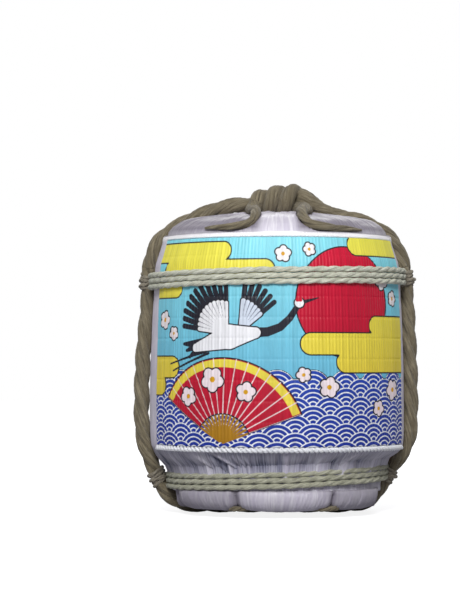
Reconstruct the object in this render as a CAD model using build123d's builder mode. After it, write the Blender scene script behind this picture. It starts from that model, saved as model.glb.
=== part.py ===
"""Small ceremonial sake cask: a cedar cask in woven straw mats, tied with bands and a carrying rope.

Millimetres, +Z up, front towards -Y. The origin is on the ground under the middle of the part.
"""

import os
from math import ceil, cos, degrees, hypot, pi, radians, sin, tan

from build123d import *

os.makedirs("parts", exist_ok=True)

# Clearances, and one overrun for all cuts
soft_gap = 0.3
wood_gap = 0.1
stave_joint = 0.05
overrun = 5.0

# Angles round the part are measured from its front, which is this way
front_angle = -90.0

# Cask: tapered staves round a floor and a lid
cask_bottom_z = 36.0
cask_height = 136.0
cask_bottom_radius = 81.0
cask_top_radius = 78.0
stave_thickness = 8.0
stave_count = 16
stave_chamfer = 6.6
chime_height = 5.0
board_thickness = 9.0
board_count = 3
lid_recess = 3.0
rebate_depth = 2.8
dowel_radius = 2.0
dowel_length = 22.0
dowel_spread_share = 0.5
bung_radius = 12.0
bung_head = 2.6

# Bamboo hoops
hoop_height = 8.0
hoop_thickness = 3.7
hoop_flank_share = 0.6
hoop_height_shares = (0.12, 0.20, 0.50, 0.80, 0.90)

# Woven straw mats: heights from the cask's two ends, and how far they are drawn in from its sides
mat_thickness = 1.6
mat_bend_radius = 12.0
neck_bend_radius = 6.0
mat_skirt = 20.0
neck_drop = 4.4
neck_draw = 9.4
belly_rise = 7.6
shoulder_drop = 6.0
collar_rise = 5.0
collar_draw = 3.8
hem_rise = 15.0
hem_draw = 5.9
print_thickness = 1.2
print_gap = 0.05
print_bottom_rise = 11.0
print_hem_margin = 3.0
print_left_angle = -66.0
print_right_angle = 71.0

# Folded straw of the foot and of the top
foot_lobe_count = 8
foot_bottom_z = 3.8
foot_bulge = 0.4
foot_valley_depth = 4.5
crown_rise = 16.0
top_valley_angles = (-135.0, -45.0, 55.0, 135.0)

# Carrying rope and lashing cords
rope_radius = 5.0
rope_waist_radius = 2.7
rope_taper = 6.0
rope_flat = 0.5
rope_y = -6.0
rope_foot_inset = 4.0
rope_side_reach = 14.2
rope_side_drop = 19.0
rope_joint_lift = 8.2
band_cord_radius = 1.8
band_pitch = 4.1
band_turns = 3
upper_band_drop = 14.5
lower_band_drop = 12.6
knot_cord_radius = 1.2
knot_pitch = 2.9
upper_knot_turns = 3
lower_knot_cord_radius = 1.5
lower_knot_pitch = 3.5
lower_knot_turns = 2
lower_knot_drop = 4.0
twist_gap = 0.5
twist_half_turns = 3
twist_points = 4
twist_lead_share = 0.5
twist_lift = 9.5
lashing_cord_radius = 1.7
lashing_gap = 1.0
base_leg_share = 0.5
arc_share = 0.45
turn_share = 0.98

# The bow's route over each shoulder, as points that start below its joint with the sling: how far
# out each one is from the sling's line, and how high above the cask's top
bow_left_route = ((3.0, -11.4), (-8.7, 7.0), (-21.7, 23.5), (-40.2, 34.0))
bow_right_route = ((2.8, -14.0), (-4.9, 6.0), (-13.7, 22.5), (-42.2, 32.5))
twist_left_x = -29.0
twist_right_x = 24.0


def save(name, part):
    """Label a finished part and write it as a STEP file."""
    part.label = name
    export_step(part, f"parts/{name}.step")


def around(angle):
    """A plane that holds the Z axis, with its X towards this angle and its Y upwards."""
    a = radians(angle)
    return Plane(origin=(0, 0, 0), x_dir=(cos(a), sin(a), 0), z_dir=(sin(a), -cos(a), 0))


def stave_radius(z):
    """Outer radius of the staves at a height."""
    share = (z - cask_bottom_z) / cask_height
    return cask_bottom_radius + (cask_top_radius - cask_bottom_radius) * share


def bore_radius(z):
    """Inner radius of the staves at a height."""
    return stave_radius(z) - stave_thickness


def beyond(points, distance):
    """The same outline, moved outwards by a distance with its corners kept sharp."""
    moved = []
    for i, (r, z) in enumerate(points):
        normals = []
        for (r0, z0), (r1, z1) in zip(points[max(i - 1, 0):i + 1], points[max(i, 1):i + 2]):
            length = hypot(r1 - r0, z1 - z0)
            normals.append(((z1 - z0) / length, (r0 - r1) / length))
        (ax, az), (bx, bz) = normals[0], normals[-1]
        scale = distance / (1 + ax * bx + az * bz)
        moved.append((r + (ax + bx) * scale, z + (az + bz) * scale))
    return moved


def radius_at(points, z):
    """Radius of an outline at a height."""
    for (r0, z0), (r1, z1) in zip(points, points[1:]):
        if z0 <= z <= z1:
            return r0 + (r1 - r0) * (z - z0) / (z1 - z0)
    return points[0][0] if z < points[0][1] else points[-1][0]


def trimmed(points, low_z, high_z):
    """The stretch of an outline between two heights."""
    inner = [(r, z) for r, z in points if low_z < z < high_z]
    return [(radius_at(points, low_z), low_z), *inner, (radius_at(points, high_z), high_z)]


def rounded_run(points, radii=None):
    """Straight runs joined by tangent arcs, drawn into the current line. Returns the radii."""
    corners = [Vector(*p) for p in points]
    drawn = []
    start = corners[0]
    for i in range(1, len(corners) - 1):
        back = corners[i - 1] - corners[i]
        ahead = corners[i + 1] - corners[i]
        half_turn = radians(180 - back.get_angle(ahead)) / 2
        radius = arc_share * min(back.length, ahead.length) / tan(half_turn)
        if radii and radii[i - 1]:
            radius = radii[i - 1]
        setback = radius * tan(half_turn)
        arc_start = corners[i] + back.normalized() * setback
        arc_end = corners[i] + ahead.normalized() * setback
        inward = (back.normalized() + ahead.normalized()).normalized()
        arc_middle = corners[i] + inward * (radius / cos(half_turn) - radius)
        Line(start, arc_start)
        ThreePointArc(arc_start, arc_middle, arc_end)
        start = arc_end
        drawn.append(radius)
    Line(start, corners[-1])
    return drawn


def section_plane(route):
    """The plane square to the start of a route."""
    return Plane(origin=route @ 0, z_dir=route % 0)


def report_tube(name, part, route, radius, radii=()):
    """Print a tube's volume against its section times its length, and its smallest arc."""
    ratio = part.volume / (pi * radius**2 * route.length)
    smallest = f"{min(radii):.1f}" if radii else "as wound"
    print(f"{name}: length {route.length:.1f} mm, volume ratio {ratio:.4f}, least radius {smallest} mm")


def report_gap(name, route, radius, loop_length):
    """Print a winding's least gap to itself, measured on points along its route."""
    count = ceil(route.length / radius)
    points = [route @ (i / count) for i in range(count + 1)]
    skip = ceil(loop_length / 2 / (route.length / count))
    least = min(
        (points[i] - points[j]).length
        for i in range(len(points))
        for j in range(i + skip, len(points))
    )
    print(f"{name}: least gap to itself {least - 2 * radius:.2f} mm")


# Heights that follow the cask's two ends
cask_top_z = cask_bottom_z + cask_height
floor_z = cask_bottom_z + chime_height
lid_z = cask_top_z - lid_recess - board_thickness
mat_bottom_z = cask_bottom_z - mat_skirt
neck_top_z = cask_bottom_z - neck_drop
belly_z = cask_bottom_z + belly_rise
shoulder_z = cask_top_z - shoulder_drop
collar_z = cask_top_z + collar_rise
hem_z = cask_top_z + hem_rise
print_bottom_z = cask_bottom_z + print_bottom_rise
print_top_z = hem_z - print_hem_margin
upper_band_z = cask_top_z - upper_band_drop
lower_band_z = cask_bottom_z - lower_band_drop
top_crown_z = hem_z + crown_rise
twist_z = top_crown_z + twist_lift

# Outlines of the body mat, inside and outside, from the neck up to the hem
hoop_reach = wood_gap + hoop_thickness
mat_reach = hoop_reach + soft_gap + mat_thickness
neck_radius = cask_bottom_radius - neck_draw
collar_radius = stave_radius(shoulder_z) + mat_reach - collar_draw
hem_radius = stave_radius(shoulder_z) + mat_reach - hem_draw
mat_inside = [
    (neck_radius - mat_thickness, mat_bottom_z),
    (neck_radius - mat_thickness, neck_top_z),
    (stave_radius(belly_z) + hoop_reach + soft_gap, belly_z),
    (stave_radius(shoulder_z) + hoop_reach + soft_gap, shoulder_z),
    (collar_radius - mat_thickness, collar_z),
    (hem_radius - mat_thickness, hem_z),
]
mat_outside = beyond(mat_inside, mat_thickness)

# Places worked out from the outlines: the sling clears the belly, and its waist clears the band
rebate_radius = bore_radius(lid_z) + rebate_depth
upper_band_seat = radius_at(mat_outside, upper_band_z) + print_gap + print_thickness + soft_gap
sling_x = max(
    upper_band_seat + 2 * band_cord_radius + soft_gap + rope_waist_radius,
    radius_at(mat_outside, belly_z) + soft_gap + rope_radius,
)
foot_radius = neck_radius + foot_bulge
rope_z = rope_radius - rope_flat
upper_band_radius = upper_band_seat + band_cord_radius
upper_band_foot = upper_band_z - band_turns * band_pitch / 2 - band_cord_radius
upper_knot_half = upper_knot_turns * knot_pitch / 2 + knot_cord_radius
upper_knot_z = upper_band_foot - soft_gap - upper_knot_half
waist_bottom_z = upper_knot_z - upper_knot_half - soft_gap - rope_taper

# Staves
stave_step = 360 / stave_count
for number in range(stave_count):
    with BuildPart() as stave:
        with BuildSketch(around(number * stave_step)):
            with BuildLine():
                Polyline(
                    (bore_radius(cask_bottom_z), cask_bottom_z),
                    (cask_bottom_radius - stave_chamfer, cask_bottom_z),
                    (stave_radius(cask_bottom_z + stave_chamfer), cask_bottom_z + stave_chamfer),
                    (cask_top_radius, cask_top_z),
                    (rebate_radius, cask_top_z),
                    (rebate_radius, lid_z),
                    (bore_radius(lid_z), lid_z),
                    close=True,
                )
            make_face()
        revolve(axis=Axis.Z, revolution_arc=stave_step - degrees(stave_joint / cask_top_radius))
    save(f"stave_{number + 1:02d}", stave.part)


def make_boards(name, radius, bottom_z, hole_radius=0.0):
    """Boards side by side that make a round disc, and the dowels that hold them together."""
    width = 2 * radius / board_count
    seams = [(i - board_count / 2) * width for i in range(1, board_count)]
    dowel_y = radius * dowel_spread_share
    middle_z = bottom_z + board_thickness / 2
    for i in range(board_count):
        with BuildPart() as board:
            with BuildSketch(Plane.XY.offset(bottom_z)):
                Circle(radius)
                with Locations(((i - (board_count - 1) / 2) * width, 0)):
                    Rectangle(width - wood_gap, 2 * radius, mode=Mode.INTERSECT)
                if hole_radius and i == board_count // 2:
                    Circle(hole_radius, mode=Mode.SUBTRACT)
            extrude(amount=board_thickness)
            for seam in seams:
                with BuildSketch(Plane.YZ.offset(seam - dowel_length / 2 - wood_gap)):
                    with Locations((-dowel_y, middle_z), (dowel_y, middle_z)):
                        Circle(dowel_radius + wood_gap)
                extrude(amount=dowel_length + 2 * wood_gap, mode=Mode.SUBTRACT)
        save(f"{name}_board_{i + 1}", board.part)
    with BuildPart() as dowels:
        for seam in seams:
            with BuildSketch(Plane.YZ.offset(seam - dowel_length / 2)):
                with Locations((-dowel_y, middle_z), (dowel_y, middle_z)):
                    Circle(dowel_radius)
            extrude(amount=dowel_length)
    save(f"{name}_dowels", dowels.part)


# Floor, lid and bung
floor_radius = min(bore_radius(floor_z), bore_radius(floor_z + board_thickness)) - wood_gap
make_boards("floor", floor_radius, floor_z)
make_boards("lid", rebate_radius - soft_gap, lid_z + wood_gap, bung_radius + wood_gap)

with BuildPart() as bung:
    with BuildSketch(Plane.XY.offset(lid_z + 2 * wood_gap)):
        Circle(bung_radius)
    extrude(amount=board_thickness + bung_head)
    chamfer(bung.edges().group_by(Axis.Z)[-1], bung_head / 2)
save("bung", bung.part)

# Hoops
for number, share in enumerate(hoop_height_shares):
    hoop_z = cask_bottom_z + share * cask_height
    low_z = hoop_z - hoop_height / 2
    high_z = hoop_z + hoop_height / 2
    low_r = stave_radius(low_z) + wood_gap
    high_r = stave_radius(high_z) + wood_gap
    flank = hoop_thickness * hoop_flank_share
    with BuildPart() as hoop:
        with BuildSketch(Plane.XZ):
            with BuildLine():
                Polyline(
                    (low_r + flank, low_z),
                    (low_r, low_z),
                    (high_r, high_z),
                    (high_r + flank, high_z),
                )
                ThreePointArc(
                    (high_r + flank, high_z),
                    (stave_radius(hoop_z) + hoop_reach, hoop_z),
                    (low_r + flank, low_z),
                )
            make_face()
        revolve(axis=Axis.Z)
    save(f"hoop_{number + 1}", hoop.part)

# Route of the sling, and the tubes that are cut round it
rope_foot_x = foot_radius - rope_foot_inset
sling_side = [
    (rope_foot_x, rope_y, rope_z),
    (neck_radius + rope_side_reach, rope_y, cask_bottom_z - rope_side_drop),
    (sling_x, rope_y, beyond(mat_outside, sling_x - radius_at(mat_outside, belly_z))[2][1]),
    (sling_x, rope_y, waist_bottom_z),
]
sling_points = [(-x, y, z) for x, y, z in reversed(sling_side)] + sling_side
rope_joint_z = upper_band_z + rope_joint_lift

with BuildPart() as sling_groove:
    with BuildLine() as groove_route:
        rounded_run(sling_points)
    with BuildSketch(section_plane(groove_route.wire())):
        Circle(rope_radius + soft_gap)
    sweep()
    with BuildSketch(Plane.XY):
        with Locations((0, rope_y)):
            Rectangle(2 * rope_foot_x, 2 * (rope_radius + soft_gap))
    extrude(amount=rope_z)

with BuildPart() as sling_rope:
    with BuildLine() as sling_route:
        sling_radii = rounded_run(sling_points)
    with BuildSketch(section_plane(sling_route.wire())):
        Circle(rope_radius)
    sweep()
    report_tube("sling_rope", sling_rope.part, sling_route.wire(), rope_radius, sling_radii)
    for side in (-1, 1):
        taper_plane = Plane(origin=(side * sling_x, rope_y, waist_bottom_z), z_dir=(0, 0, 1))
        with BuildSketch(taper_plane):
            Circle(rope_radius)
        with BuildSketch(taper_plane.offset(rope_taper)):
            Circle(rope_waist_radius)
        loft()
        with BuildSketch(taper_plane.offset(rope_taper)):
            Circle(rope_waist_radius)
        extrude(amount=rope_joint_z - waist_bottom_z - rope_taper)
    split(bisect_by=Plane.XY, keep=Keep.TOP)
save("sling_rope", sling_rope.part)


def wind(name, plane, winding_radius, cord_radius, pitch, turns):
    """A cord wound round an axis as one tube: half turns that each climb half a pitch.

    The plane's origin is the middle of the winding, and its Z is the axis.
    """
    bottom = -turns * pitch / 2
    half_width = hypot(winding_radius, pitch / 4)
    with BuildPart() as winding:
        with BuildLine(plane) as route:
            Line((2 * cord_radius, winding_radius, bottom), (0, winding_radius, bottom))
            for i in range(2 * turns):
                side = 1 if i % 2 == 0 else -1
                low = bottom + i * pitch / 2
                ThreePointArc(
                    (0, side * winding_radius, low),
                    (-side * half_width, 0, low + pitch / 4),
                    (0, -side * winding_radius, low + pitch / 2),
                )
            top = bottom + turns * pitch
            Line((0, winding_radius, top), (-2 * cord_radius, winding_radius, top))
        with BuildSketch(section_plane(route.wire())):
            Circle(cord_radius)
        sweep()
    report_tube(name, winding.part, route.wire(), cord_radius)
    report_gap(name, route.wire(), cord_radius, 2 * pi * winding_radius)
    save(name, winding.part)
    return winding.part


# Bands and knots
lower_knot_z = cask_bottom_z - lower_knot_drop
wind(
    "upper_band",
    Plane.XY.offset(upper_band_z),
    upper_band_radius,
    band_cord_radius,
    band_pitch,
    band_turns,
)
wind(
    "lower_band",
    Plane.XY.offset(lower_band_z),
    neck_radius + soft_gap + band_cord_radius,
    band_cord_radius,
    band_pitch,
    band_turns,
)
upper_knot_radius = rope_waist_radius + soft_gap + knot_cord_radius
for side_name, side in (("left", -1), ("right", 1)):
    wind(
        f"upper_knot_{side_name}",
        Plane(origin=(side * sling_x, rope_y, upper_knot_z), x_dir=(0, side, 0), z_dir=(0, 0, 1)),
        upper_knot_radius,
        knot_cord_radius,
        knot_pitch,
        upper_knot_turns,
    )
    low_point, high_point = sling_side[1], sling_side[2]
    share = (lower_knot_z - low_point[2]) / (high_point[2] - low_point[2])
    knot_x = side * (low_point[0] + (high_point[0] - low_point[0]) * share)
    rope_lean = (side * (high_point[0] - low_point[0]), 0, high_point[2] - low_point[2])
    wind(
        f"lower_knot_{side_name}",
        Plane(origin=(knot_x, rope_y, lower_knot_z), x_dir=(0, side, 0), z_dir=rope_lean),
        rope_radius + soft_gap + lower_knot_cord_radius,
        lower_knot_cord_radius,
        lower_knot_pitch,
        lower_knot_turns,
    )

# Bow: two ropes that come up the shoulders and twist round each other in the middle
twist_radius = rope_radius + twist_gap / 2
twist_steps = twist_half_turns * twist_points
step_angle = pi / twist_points
corner_radius = twist_radius / cos(step_angle / 2)
twist_step_x = (twist_right_x - twist_left_x) / twist_steps


def twist_corner(step, side):
    """A corner of one rope's route in the twist, in steps from the end where it comes in.

    The step before the first one leads the rope in at half the lay.
    """
    angle = step * step_angle if step >= 0 else step * step_angle * twist_lead_share
    x = (twist_right_x if side > 0 else twist_left_x) - side * step * twist_step_x
    return (x, rope_y - side * corner_radius * sin(angle), twist_z + corner_radius * cos(angle))


bow_left_points = [(-sling_x - out, rope_y, cask_top_z + up) for out, up in bow_left_route]
bow_inner_x = min(abs(point[0]) for point in bow_left_points)
bow_left_points += [twist_corner(step, -1) for step in range(-1, twist_steps + 1)]
bow_right_points = [(sling_x + out, rope_y, cask_top_z + up) for out, up in bow_right_route]
bow_inner_x = min(bow_inner_x, *(abs(point[0]) for point in bow_right_points))
bow_right_points += [twist_corner(step, 1) for step in range(-1, twist_steps + 1)]
bow_lines = []
for bow_name, bow_points in (("bow_rope_left", bow_left_points), ("bow_rope_right", bow_right_points)):
    with BuildPart() as bow:
        with BuildLine() as bow_route:
            bow_radii = rounded_run(bow_points)
        with BuildSketch(section_plane(bow_route.wire())):
            Circle(rope_radius)
        sweep()
    report_tube(bow_name, bow.part, bow_route.wire(), rope_radius, bow_radii)
    with bow:
        split(bisect_by=Plane.XY.offset(rope_joint_z + soft_gap), keep=Keep.TOP)
    save(bow_name, bow.part)
    bow_lines.append(bow_route.wire())

steps = ceil(bow_lines[0].length / rope_waist_radius)
left_line = [bow_lines[0] @ (i / steps) for i in range(steps + 1)]
right_line = [bow_lines[1] @ (i / steps) for i in range(steps + 1)]
bow_gap = min((a - b).length for a in left_line for b in right_line) - 2 * rope_radius
print(f"bow ropes: least gap between them {bow_gap:.2f} mm")

# Grooves that the bow presses into the straw
with BuildPart() as bow_groove:
    for bow_points in (bow_left_points, bow_right_points):
        shoulder = [point for point in bow_points if abs(point[0]) >= bow_inner_x]
        inner_x = twist_left_x if shoulder[0][0] < 0 else twist_right_x
        with BuildLine() as shoulder_route:
            rounded_run([*shoulder, (inner_x, rope_y, twist_z)])
        with BuildSketch(section_plane(shoulder_route.wire())):
            Circle(rope_radius + soft_gap)
        sweep()
    with BuildSketch(Plane.YZ.offset(twist_left_x - rope_radius)):
        with Locations((rope_y, twist_z)):
            Circle(twist_radius + rope_radius + soft_gap)
    extrude(amount=twist_right_x - twist_left_x + 2 * rope_radius)

# Mats
with BuildPart() as body_mat:
    with BuildSketch(Plane.XZ):
        with BuildLine():
            FilletPolyline(*mat_inside, radius=[neck_bend_radius, *[mat_bend_radius] * 3])
            offset(amount=mat_thickness, side=Side.RIGHT)
        make_face()
    revolve(axis=Axis.Z)
    with BuildSketch(Plane.XY.offset(cask_top_z)):
        with Locations((0, rope_y)):
            Rectangle(2 * sling_x, 2 * (rope_radius + soft_gap))
    extrude(amount=hem_z - cask_top_z + overrun, mode=Mode.SUBTRACT)
    add(bow_groove.part, mode=Mode.SUBTRACT)
save("body_mat", body_mat.part)

print_inside = trimmed(beyond(mat_inside, mat_thickness + print_gap), print_bottom_z, print_top_z)
with BuildPart() as printed_mat:
    with BuildSketch(around(front_angle + print_left_angle)):
        with BuildLine():
            FilletPolyline(*print_inside, radius=mat_bend_radius + mat_thickness + print_gap)
            offset(amount=print_thickness, side=Side.RIGHT)
        make_face()
    revolve(axis=Axis.Z, revolution_arc=print_right_angle - print_left_angle)
save("printed_mat", printed_mat.part)


def lobed_section(angles, z, crest_radius, valley_depth):
    """A level face bounded by arcs that bulge between the valleys at these angles."""
    valley_radius = crest_radius - valley_depth
    with BuildSketch(Plane.XY.offset(z)) as section:
        with BuildLine():
            for first, second in zip(angles, [*angles[1:], angles[0] + 360]):
                middle = radians((first + second) / 2)
                start, end = radians(first), radians(second)
                ThreePointArc(
                    (valley_radius * cos(start), valley_radius * sin(start)),
                    (crest_radius * cos(middle), crest_radius * sin(middle)),
                    (valley_radius * cos(end), valley_radius * sin(end)),
                )
        make_face()
    return section.sketch


# Foot of folded straw: lobes below, drawn in at the neck, widened again under the staves
foot_valleys = [(i + 0.5) * 360 / foot_lobe_count for i in range(foot_lobe_count)]
foot_neck = neck_radius - mat_thickness - soft_gap
foot_top_z = cask_bottom_z - soft_gap
foot_seat = radius_at(beyond(mat_inside, -soft_gap), foot_top_z)
foot_rise = mat_bottom_z - foot_bottom_z
foot_level_shares = ((0.0, 0.93, 1.0), (0.12, 0.98, 1.0), (0.4, 1.0, 1.0), (0.7, 0.99, 0.9))
foot_levels = [
    (foot_bottom_z + rise * foot_rise, foot_radius * width, foot_valley_depth * depth)
    for rise, width, depth in foot_level_shares
]
foot_levels += [(mat_bottom_z, foot_neck, 0), (neck_top_z, foot_neck, 0), (foot_top_z, foot_seat, 0)]
with BuildPart() as bottom_mat:
    loft([lobed_section(foot_valleys, *level) for level in foot_levels], ruled=True)
    add(sling_groove.part, mode=Mode.SUBTRACT)
save("bottom_mat", bottom_mat.part)

# Top of folded straw: a plug inside the hem that rises to four lobes under the bow
top_bottom_z = cask_top_z + soft_gap
plug_radius = hem_radius - mat_thickness - soft_gap
top_rise = top_crown_z - hem_z
top_level_shares = (
    (0.0, 1.0, 0.0),
    (0.3, 0.99, 0.03),
    (0.6, 0.95, 0.15),
    (0.85, 0.84, 0.26),
    (1.0, 0.66, 0.28),
)
top_levels = [(top_bottom_z, plug_radius, 0)]
top_levels += [
    (hem_z + rise * top_rise, plug_radius * width, plug_radius * width * depth)
    for rise, width, depth in top_level_shares
]
valley_angles = [front_angle + angle for angle in top_valley_angles]
with BuildPart() as top_mat:
    loft([lobed_section(valley_angles, *level) for level in top_levels], ruled=True)
    add(bow_groove.part, mode=Mode.SUBTRACT)
save("top_mat", top_mat.part)

# Lashings: doubled cords in the valleys of the top, and single ones in the foot's front and back
lashing_lift = lashing_cord_radius + lashing_gap + soft_gap
valley_line = beyond([(r - depth, z) for z, r, depth in top_levels[2:]], lashing_lift)
cord_side = lashing_cord_radius + lashing_gap / 2
top_legs = []
with BuildPart() as top_lashing:
    for angle in valley_angles:
        leg_plane = around(angle)
        out = [leg_plane.from_local_coords((r, z, -cord_side)) for r, z in reversed(valley_line)]
        back = [leg_plane.from_local_coords((r, z, cord_side)) for r, z in valley_line]
        free_corners = [0] * (len(out) - 2)
        turn_radius = cord_side * turn_share
        with BuildLine() as leg_route:
            leg_radii = rounded_run([*out, *back], free_corners + [turn_radius] * 2 + free_corners)
        with BuildSketch(section_plane(leg_route.wire())):
            Circle(lashing_cord_radius)
        sweep()
        top_legs.append(leg_route.wire().length)
save("top_lashing", top_lashing.part)
print(f"top_lashing: {len(top_legs)} legs, {sum(top_legs):.1f} mm, least radius {min(leg_radii):.1f} mm")

base_cord_z = lashing_cord_radius - rope_flat
foot_valley = foot_radius - foot_valley_depth
base_angles = [a for a in foot_valleys if abs(sin(radians(a))) > abs(cos(radians(a)))]
base_route = [
    (foot_valley * base_leg_share, base_cord_z),
    (foot_valley - lashing_gap, base_cord_z),
    (foot_valley + lashing_lift, base_cord_z + rope_radius),
    (foot_valley + lashing_lift, mat_bottom_z - band_cord_radius - lashing_cord_radius),
]
with BuildPart() as base_lashing:
    for angle in base_angles:
        leg_plane = around(angle)
        with BuildLine() as base_leg:
            base_radii = rounded_run([leg_plane.from_local_coords((r, z, 0)) for r, z in base_route])
        with BuildSketch(section_plane(base_leg.wire())):
            Circle(lashing_cord_radius)
        sweep()
    split(bisect_by=Plane.XY, keep=Keep.TOP)
save("base_lashing", base_lashing.part)
print(f"base_lashing: least radius {min(base_radii):.1f} mm")
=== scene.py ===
# %% [markdown]
# # A small sake cask dressed in straw mats
# The wooden cask is hidden. What the eye meets is a white woven mat, a printed mat over its front,
# two bands of cord and a thick carrying rope that is twisted together over the top. The frame brings
# the solids at their real size, so every surface here is worked out round them, in millimetres,
# and only the last step turns millimetres into metres.

from math import pi, radians

import bpy
import numpy as np
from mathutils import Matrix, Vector


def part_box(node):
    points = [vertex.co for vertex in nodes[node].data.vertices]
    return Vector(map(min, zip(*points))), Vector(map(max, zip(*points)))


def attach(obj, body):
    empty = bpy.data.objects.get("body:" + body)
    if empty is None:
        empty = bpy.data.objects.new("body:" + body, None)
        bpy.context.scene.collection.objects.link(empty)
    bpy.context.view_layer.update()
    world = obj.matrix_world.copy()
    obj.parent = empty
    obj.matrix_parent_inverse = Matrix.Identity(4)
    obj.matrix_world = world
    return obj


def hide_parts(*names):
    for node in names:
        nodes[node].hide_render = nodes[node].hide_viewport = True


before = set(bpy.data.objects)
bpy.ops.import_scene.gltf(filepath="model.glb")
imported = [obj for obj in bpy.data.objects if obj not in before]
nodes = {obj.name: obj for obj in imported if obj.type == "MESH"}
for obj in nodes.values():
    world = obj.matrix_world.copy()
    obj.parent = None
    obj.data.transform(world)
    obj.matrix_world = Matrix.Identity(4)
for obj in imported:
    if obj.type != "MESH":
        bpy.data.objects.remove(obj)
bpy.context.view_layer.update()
mm = 0.001

# %% [markdown]
# ## Meshes from arrays
# A woven mat is a grid: one direction runs round the cask, the other up its outline. numpy works out
# all the points of such a grid at once, and `foreach_set` hands them to Blender in one go, which is
# far quicker than adding vertices one by one. A face list of quads is worked out the same way.


# %% Grid and mesh helpers
def grid_quads(rows, columns, close_rows=False, close_columns=False, first=0):
    """Quads between neighbouring rows and columns of a grid of points that is kept row by row."""
    row = np.arange(rows if close_rows else rows - 1)[:, None]
    column = np.arange(columns if close_columns else columns - 1)[None, :]
    next_row, next_column = (row + 1) % rows, (column + 1) % columns
    corners = [
        row * columns + column,
        row * columns + next_column,
        next_row * columns + next_column,
        next_row * columns + column,
    ]
    return np.stack(corners, axis=-1).reshape(-1, 4) + first


def signed_volume(points, quads):
    """Six times the volume that the quads enclose: positive where they face outwards."""
    a, b, c, d = (points[quads[:, i]] for i in range(4))
    return float(np.sum(np.cross(b - a, c - a) * a) + np.sum(np.cross(c - a, d - a) * a))


def make_piece(name, points, quads, caps=(), attributes=None):
    """A mesh object from points in millimetres, quads and many-sided caps, turned to face outwards.

    Each attribute is a number or a vector at every point, which the materials read.
    """
    points = np.asarray(points, dtype=float).reshape(-1, 3)
    if signed_volume(points, quads) < 0:
        quads = quads[:, ::-1]
        caps = [cap[::-1] for cap in caps]
    mesh = bpy.data.meshes.new(name)
    corners = np.concatenate([quads.ravel(), *[np.asarray(cap) for cap in caps]]).astype(np.int32)
    sizes = np.array([4] * len(quads) + [len(cap) for cap in caps])
    starts = np.concatenate([[0], np.cumsum(sizes)[:-1]]).astype(np.int32)
    mesh.vertices.add(len(points))
    mesh.vertices.foreach_set("co", (points * mm).astype(np.float32).ravel())
    mesh.loops.add(len(corners))
    mesh.loops.foreach_set("vertex_index", corners)
    mesh.polygons.add(len(sizes))
    mesh.polygons.foreach_set("loop_start", starts)
    mesh.update(calc_edges=True)
    mesh.polygons.foreach_set("use_smooth", np.ones(len(sizes), dtype=bool))
    for attribute, values in (attributes or {}).items():
        kind, field = ("FLOAT_VECTOR", "vector") if values.shape[-1] == 3 else ("FLOAT", "value")
        layer = mesh.attributes.new(attribute, kind, "POINT")
        layer.data.foreach_set(field, values.astype(np.float32).ravel())
    piece = bpy.data.objects.new(name, mesh)
    bpy.context.scene.collection.objects.link(piece)
    print(f"{name}: {len(points)} points, {len(sizes)} faces")
    return piece


# %% [markdown]
# ## Smooth lines
# Outlines and rope routes are lists of a few chosen points. A Catmull-Rom spline passes through each
# of them, and it is then sampled at even steps, so that ribs and rope strands keep an even size.


# %% Splines
def smooth_line(points, step):
    """A Catmull-Rom spline through the points, sampled every step of its length.

    Between two points it is the cubic whose slope at each of them is half the way between its
    neighbours. The end slopes point at the next point.
    """
    p = np.asarray(points, dtype=float)
    p = np.vstack([2 * p[0] - p[1], p, 2 * p[-1] - p[-2]])
    t = np.linspace(0, 1, 32, endpoint=False)[:, None]
    a, b, c, d = p[:-3, None], p[1:-2, None], p[2:-1, None], p[3:, None]
    cubic = b + (c - a) * t / 2 + (a - 2.5 * b + 2 * c - d / 2) * t**2 + (-a + 3 * b - 3 * c + d) * t**3 / 2
    fine = np.vstack([cubic.reshape(-1, p.shape[1]), p[-2]])
    reach = line_reach(fine)
    even = np.linspace(0, reach[-1], max(int(reach[-1] / step), 2) + 1)
    return np.stack([np.interp(even, reach, fine[:, i]) for i in range(p.shape[1])], axis=1)


def line_reach(line):
    """Length along a line of points, from its start to each of them."""
    return np.concatenate([[0], np.cumsum(np.linalg.norm(np.diff(line, axis=0), axis=1))])


def unit(vectors):
    """The vectors scaled to a length of one."""
    return vectors / np.linalg.norm(vectors, axis=-1, keepdims=True)


# %% [markdown]
# Three small shapes come back in nearly every piece here. A bell is a soft bump or dent, a ramp
# fades something in along a line, and a ring puts a radius, an angle and a height into space.


# %% Bell, ramp and ring
def bell(away, width, power=2):
    """One in the middle, and e to the minus (away over width) to a power beside it."""
    return np.exp(-((away / width) ** power))


def ramp(value, start, end):
    """None up to the start, one from the end on, and even in between."""
    return np.clip((value - start) / (end - start), 0, 1)


def ring(radius, angle, z):
    """Points at a radius, an angle and a height round the cask's axis."""
    return np.stack(np.broadcast_arrays(radius * np.cos(angle), radius * np.sin(angle), z), axis=-1)


# %% [markdown]
# ## Materials: one helper
# Each finish starts from what the real thing is made of. Colours are written as sRGB hex values, as a
# paint chart gives them, and one function makes them linear for the shader. One small function adds
# a node, sets it up and links it, so that a material reads as a short list of steps.


# %% Node helpers
def colour(hex_value):
    """An sRGB hex colour as linear red, green, blue and alpha."""
    srgb = np.array([int(hex_value[i:i + 2], 16) / 255 for i in (1, 3, 5)])
    linear = np.where(srgb <= 0.04045, srgb / 12.92, ((srgb + 0.055) / 1.055) ** 2.4)
    return (*linear.tolist(), 1.0)


def node(tree, kind, inputs=(), out=0, **settings):
    """Add a shader node, set its properties, give each input a value or a socket, and return an output."""
    made = tree.nodes.new("ShaderNode" + kind)
    for name, value in settings.items():
        setattr(made, name, value)
    for name, value in dict(inputs).items():
        if isinstance(value, bpy.types.NodeSocket):
            tree.links.new(value, made.inputs[name])
        else:
            made.inputs[name].default_value = value
    return made.outputs[out]


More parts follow.
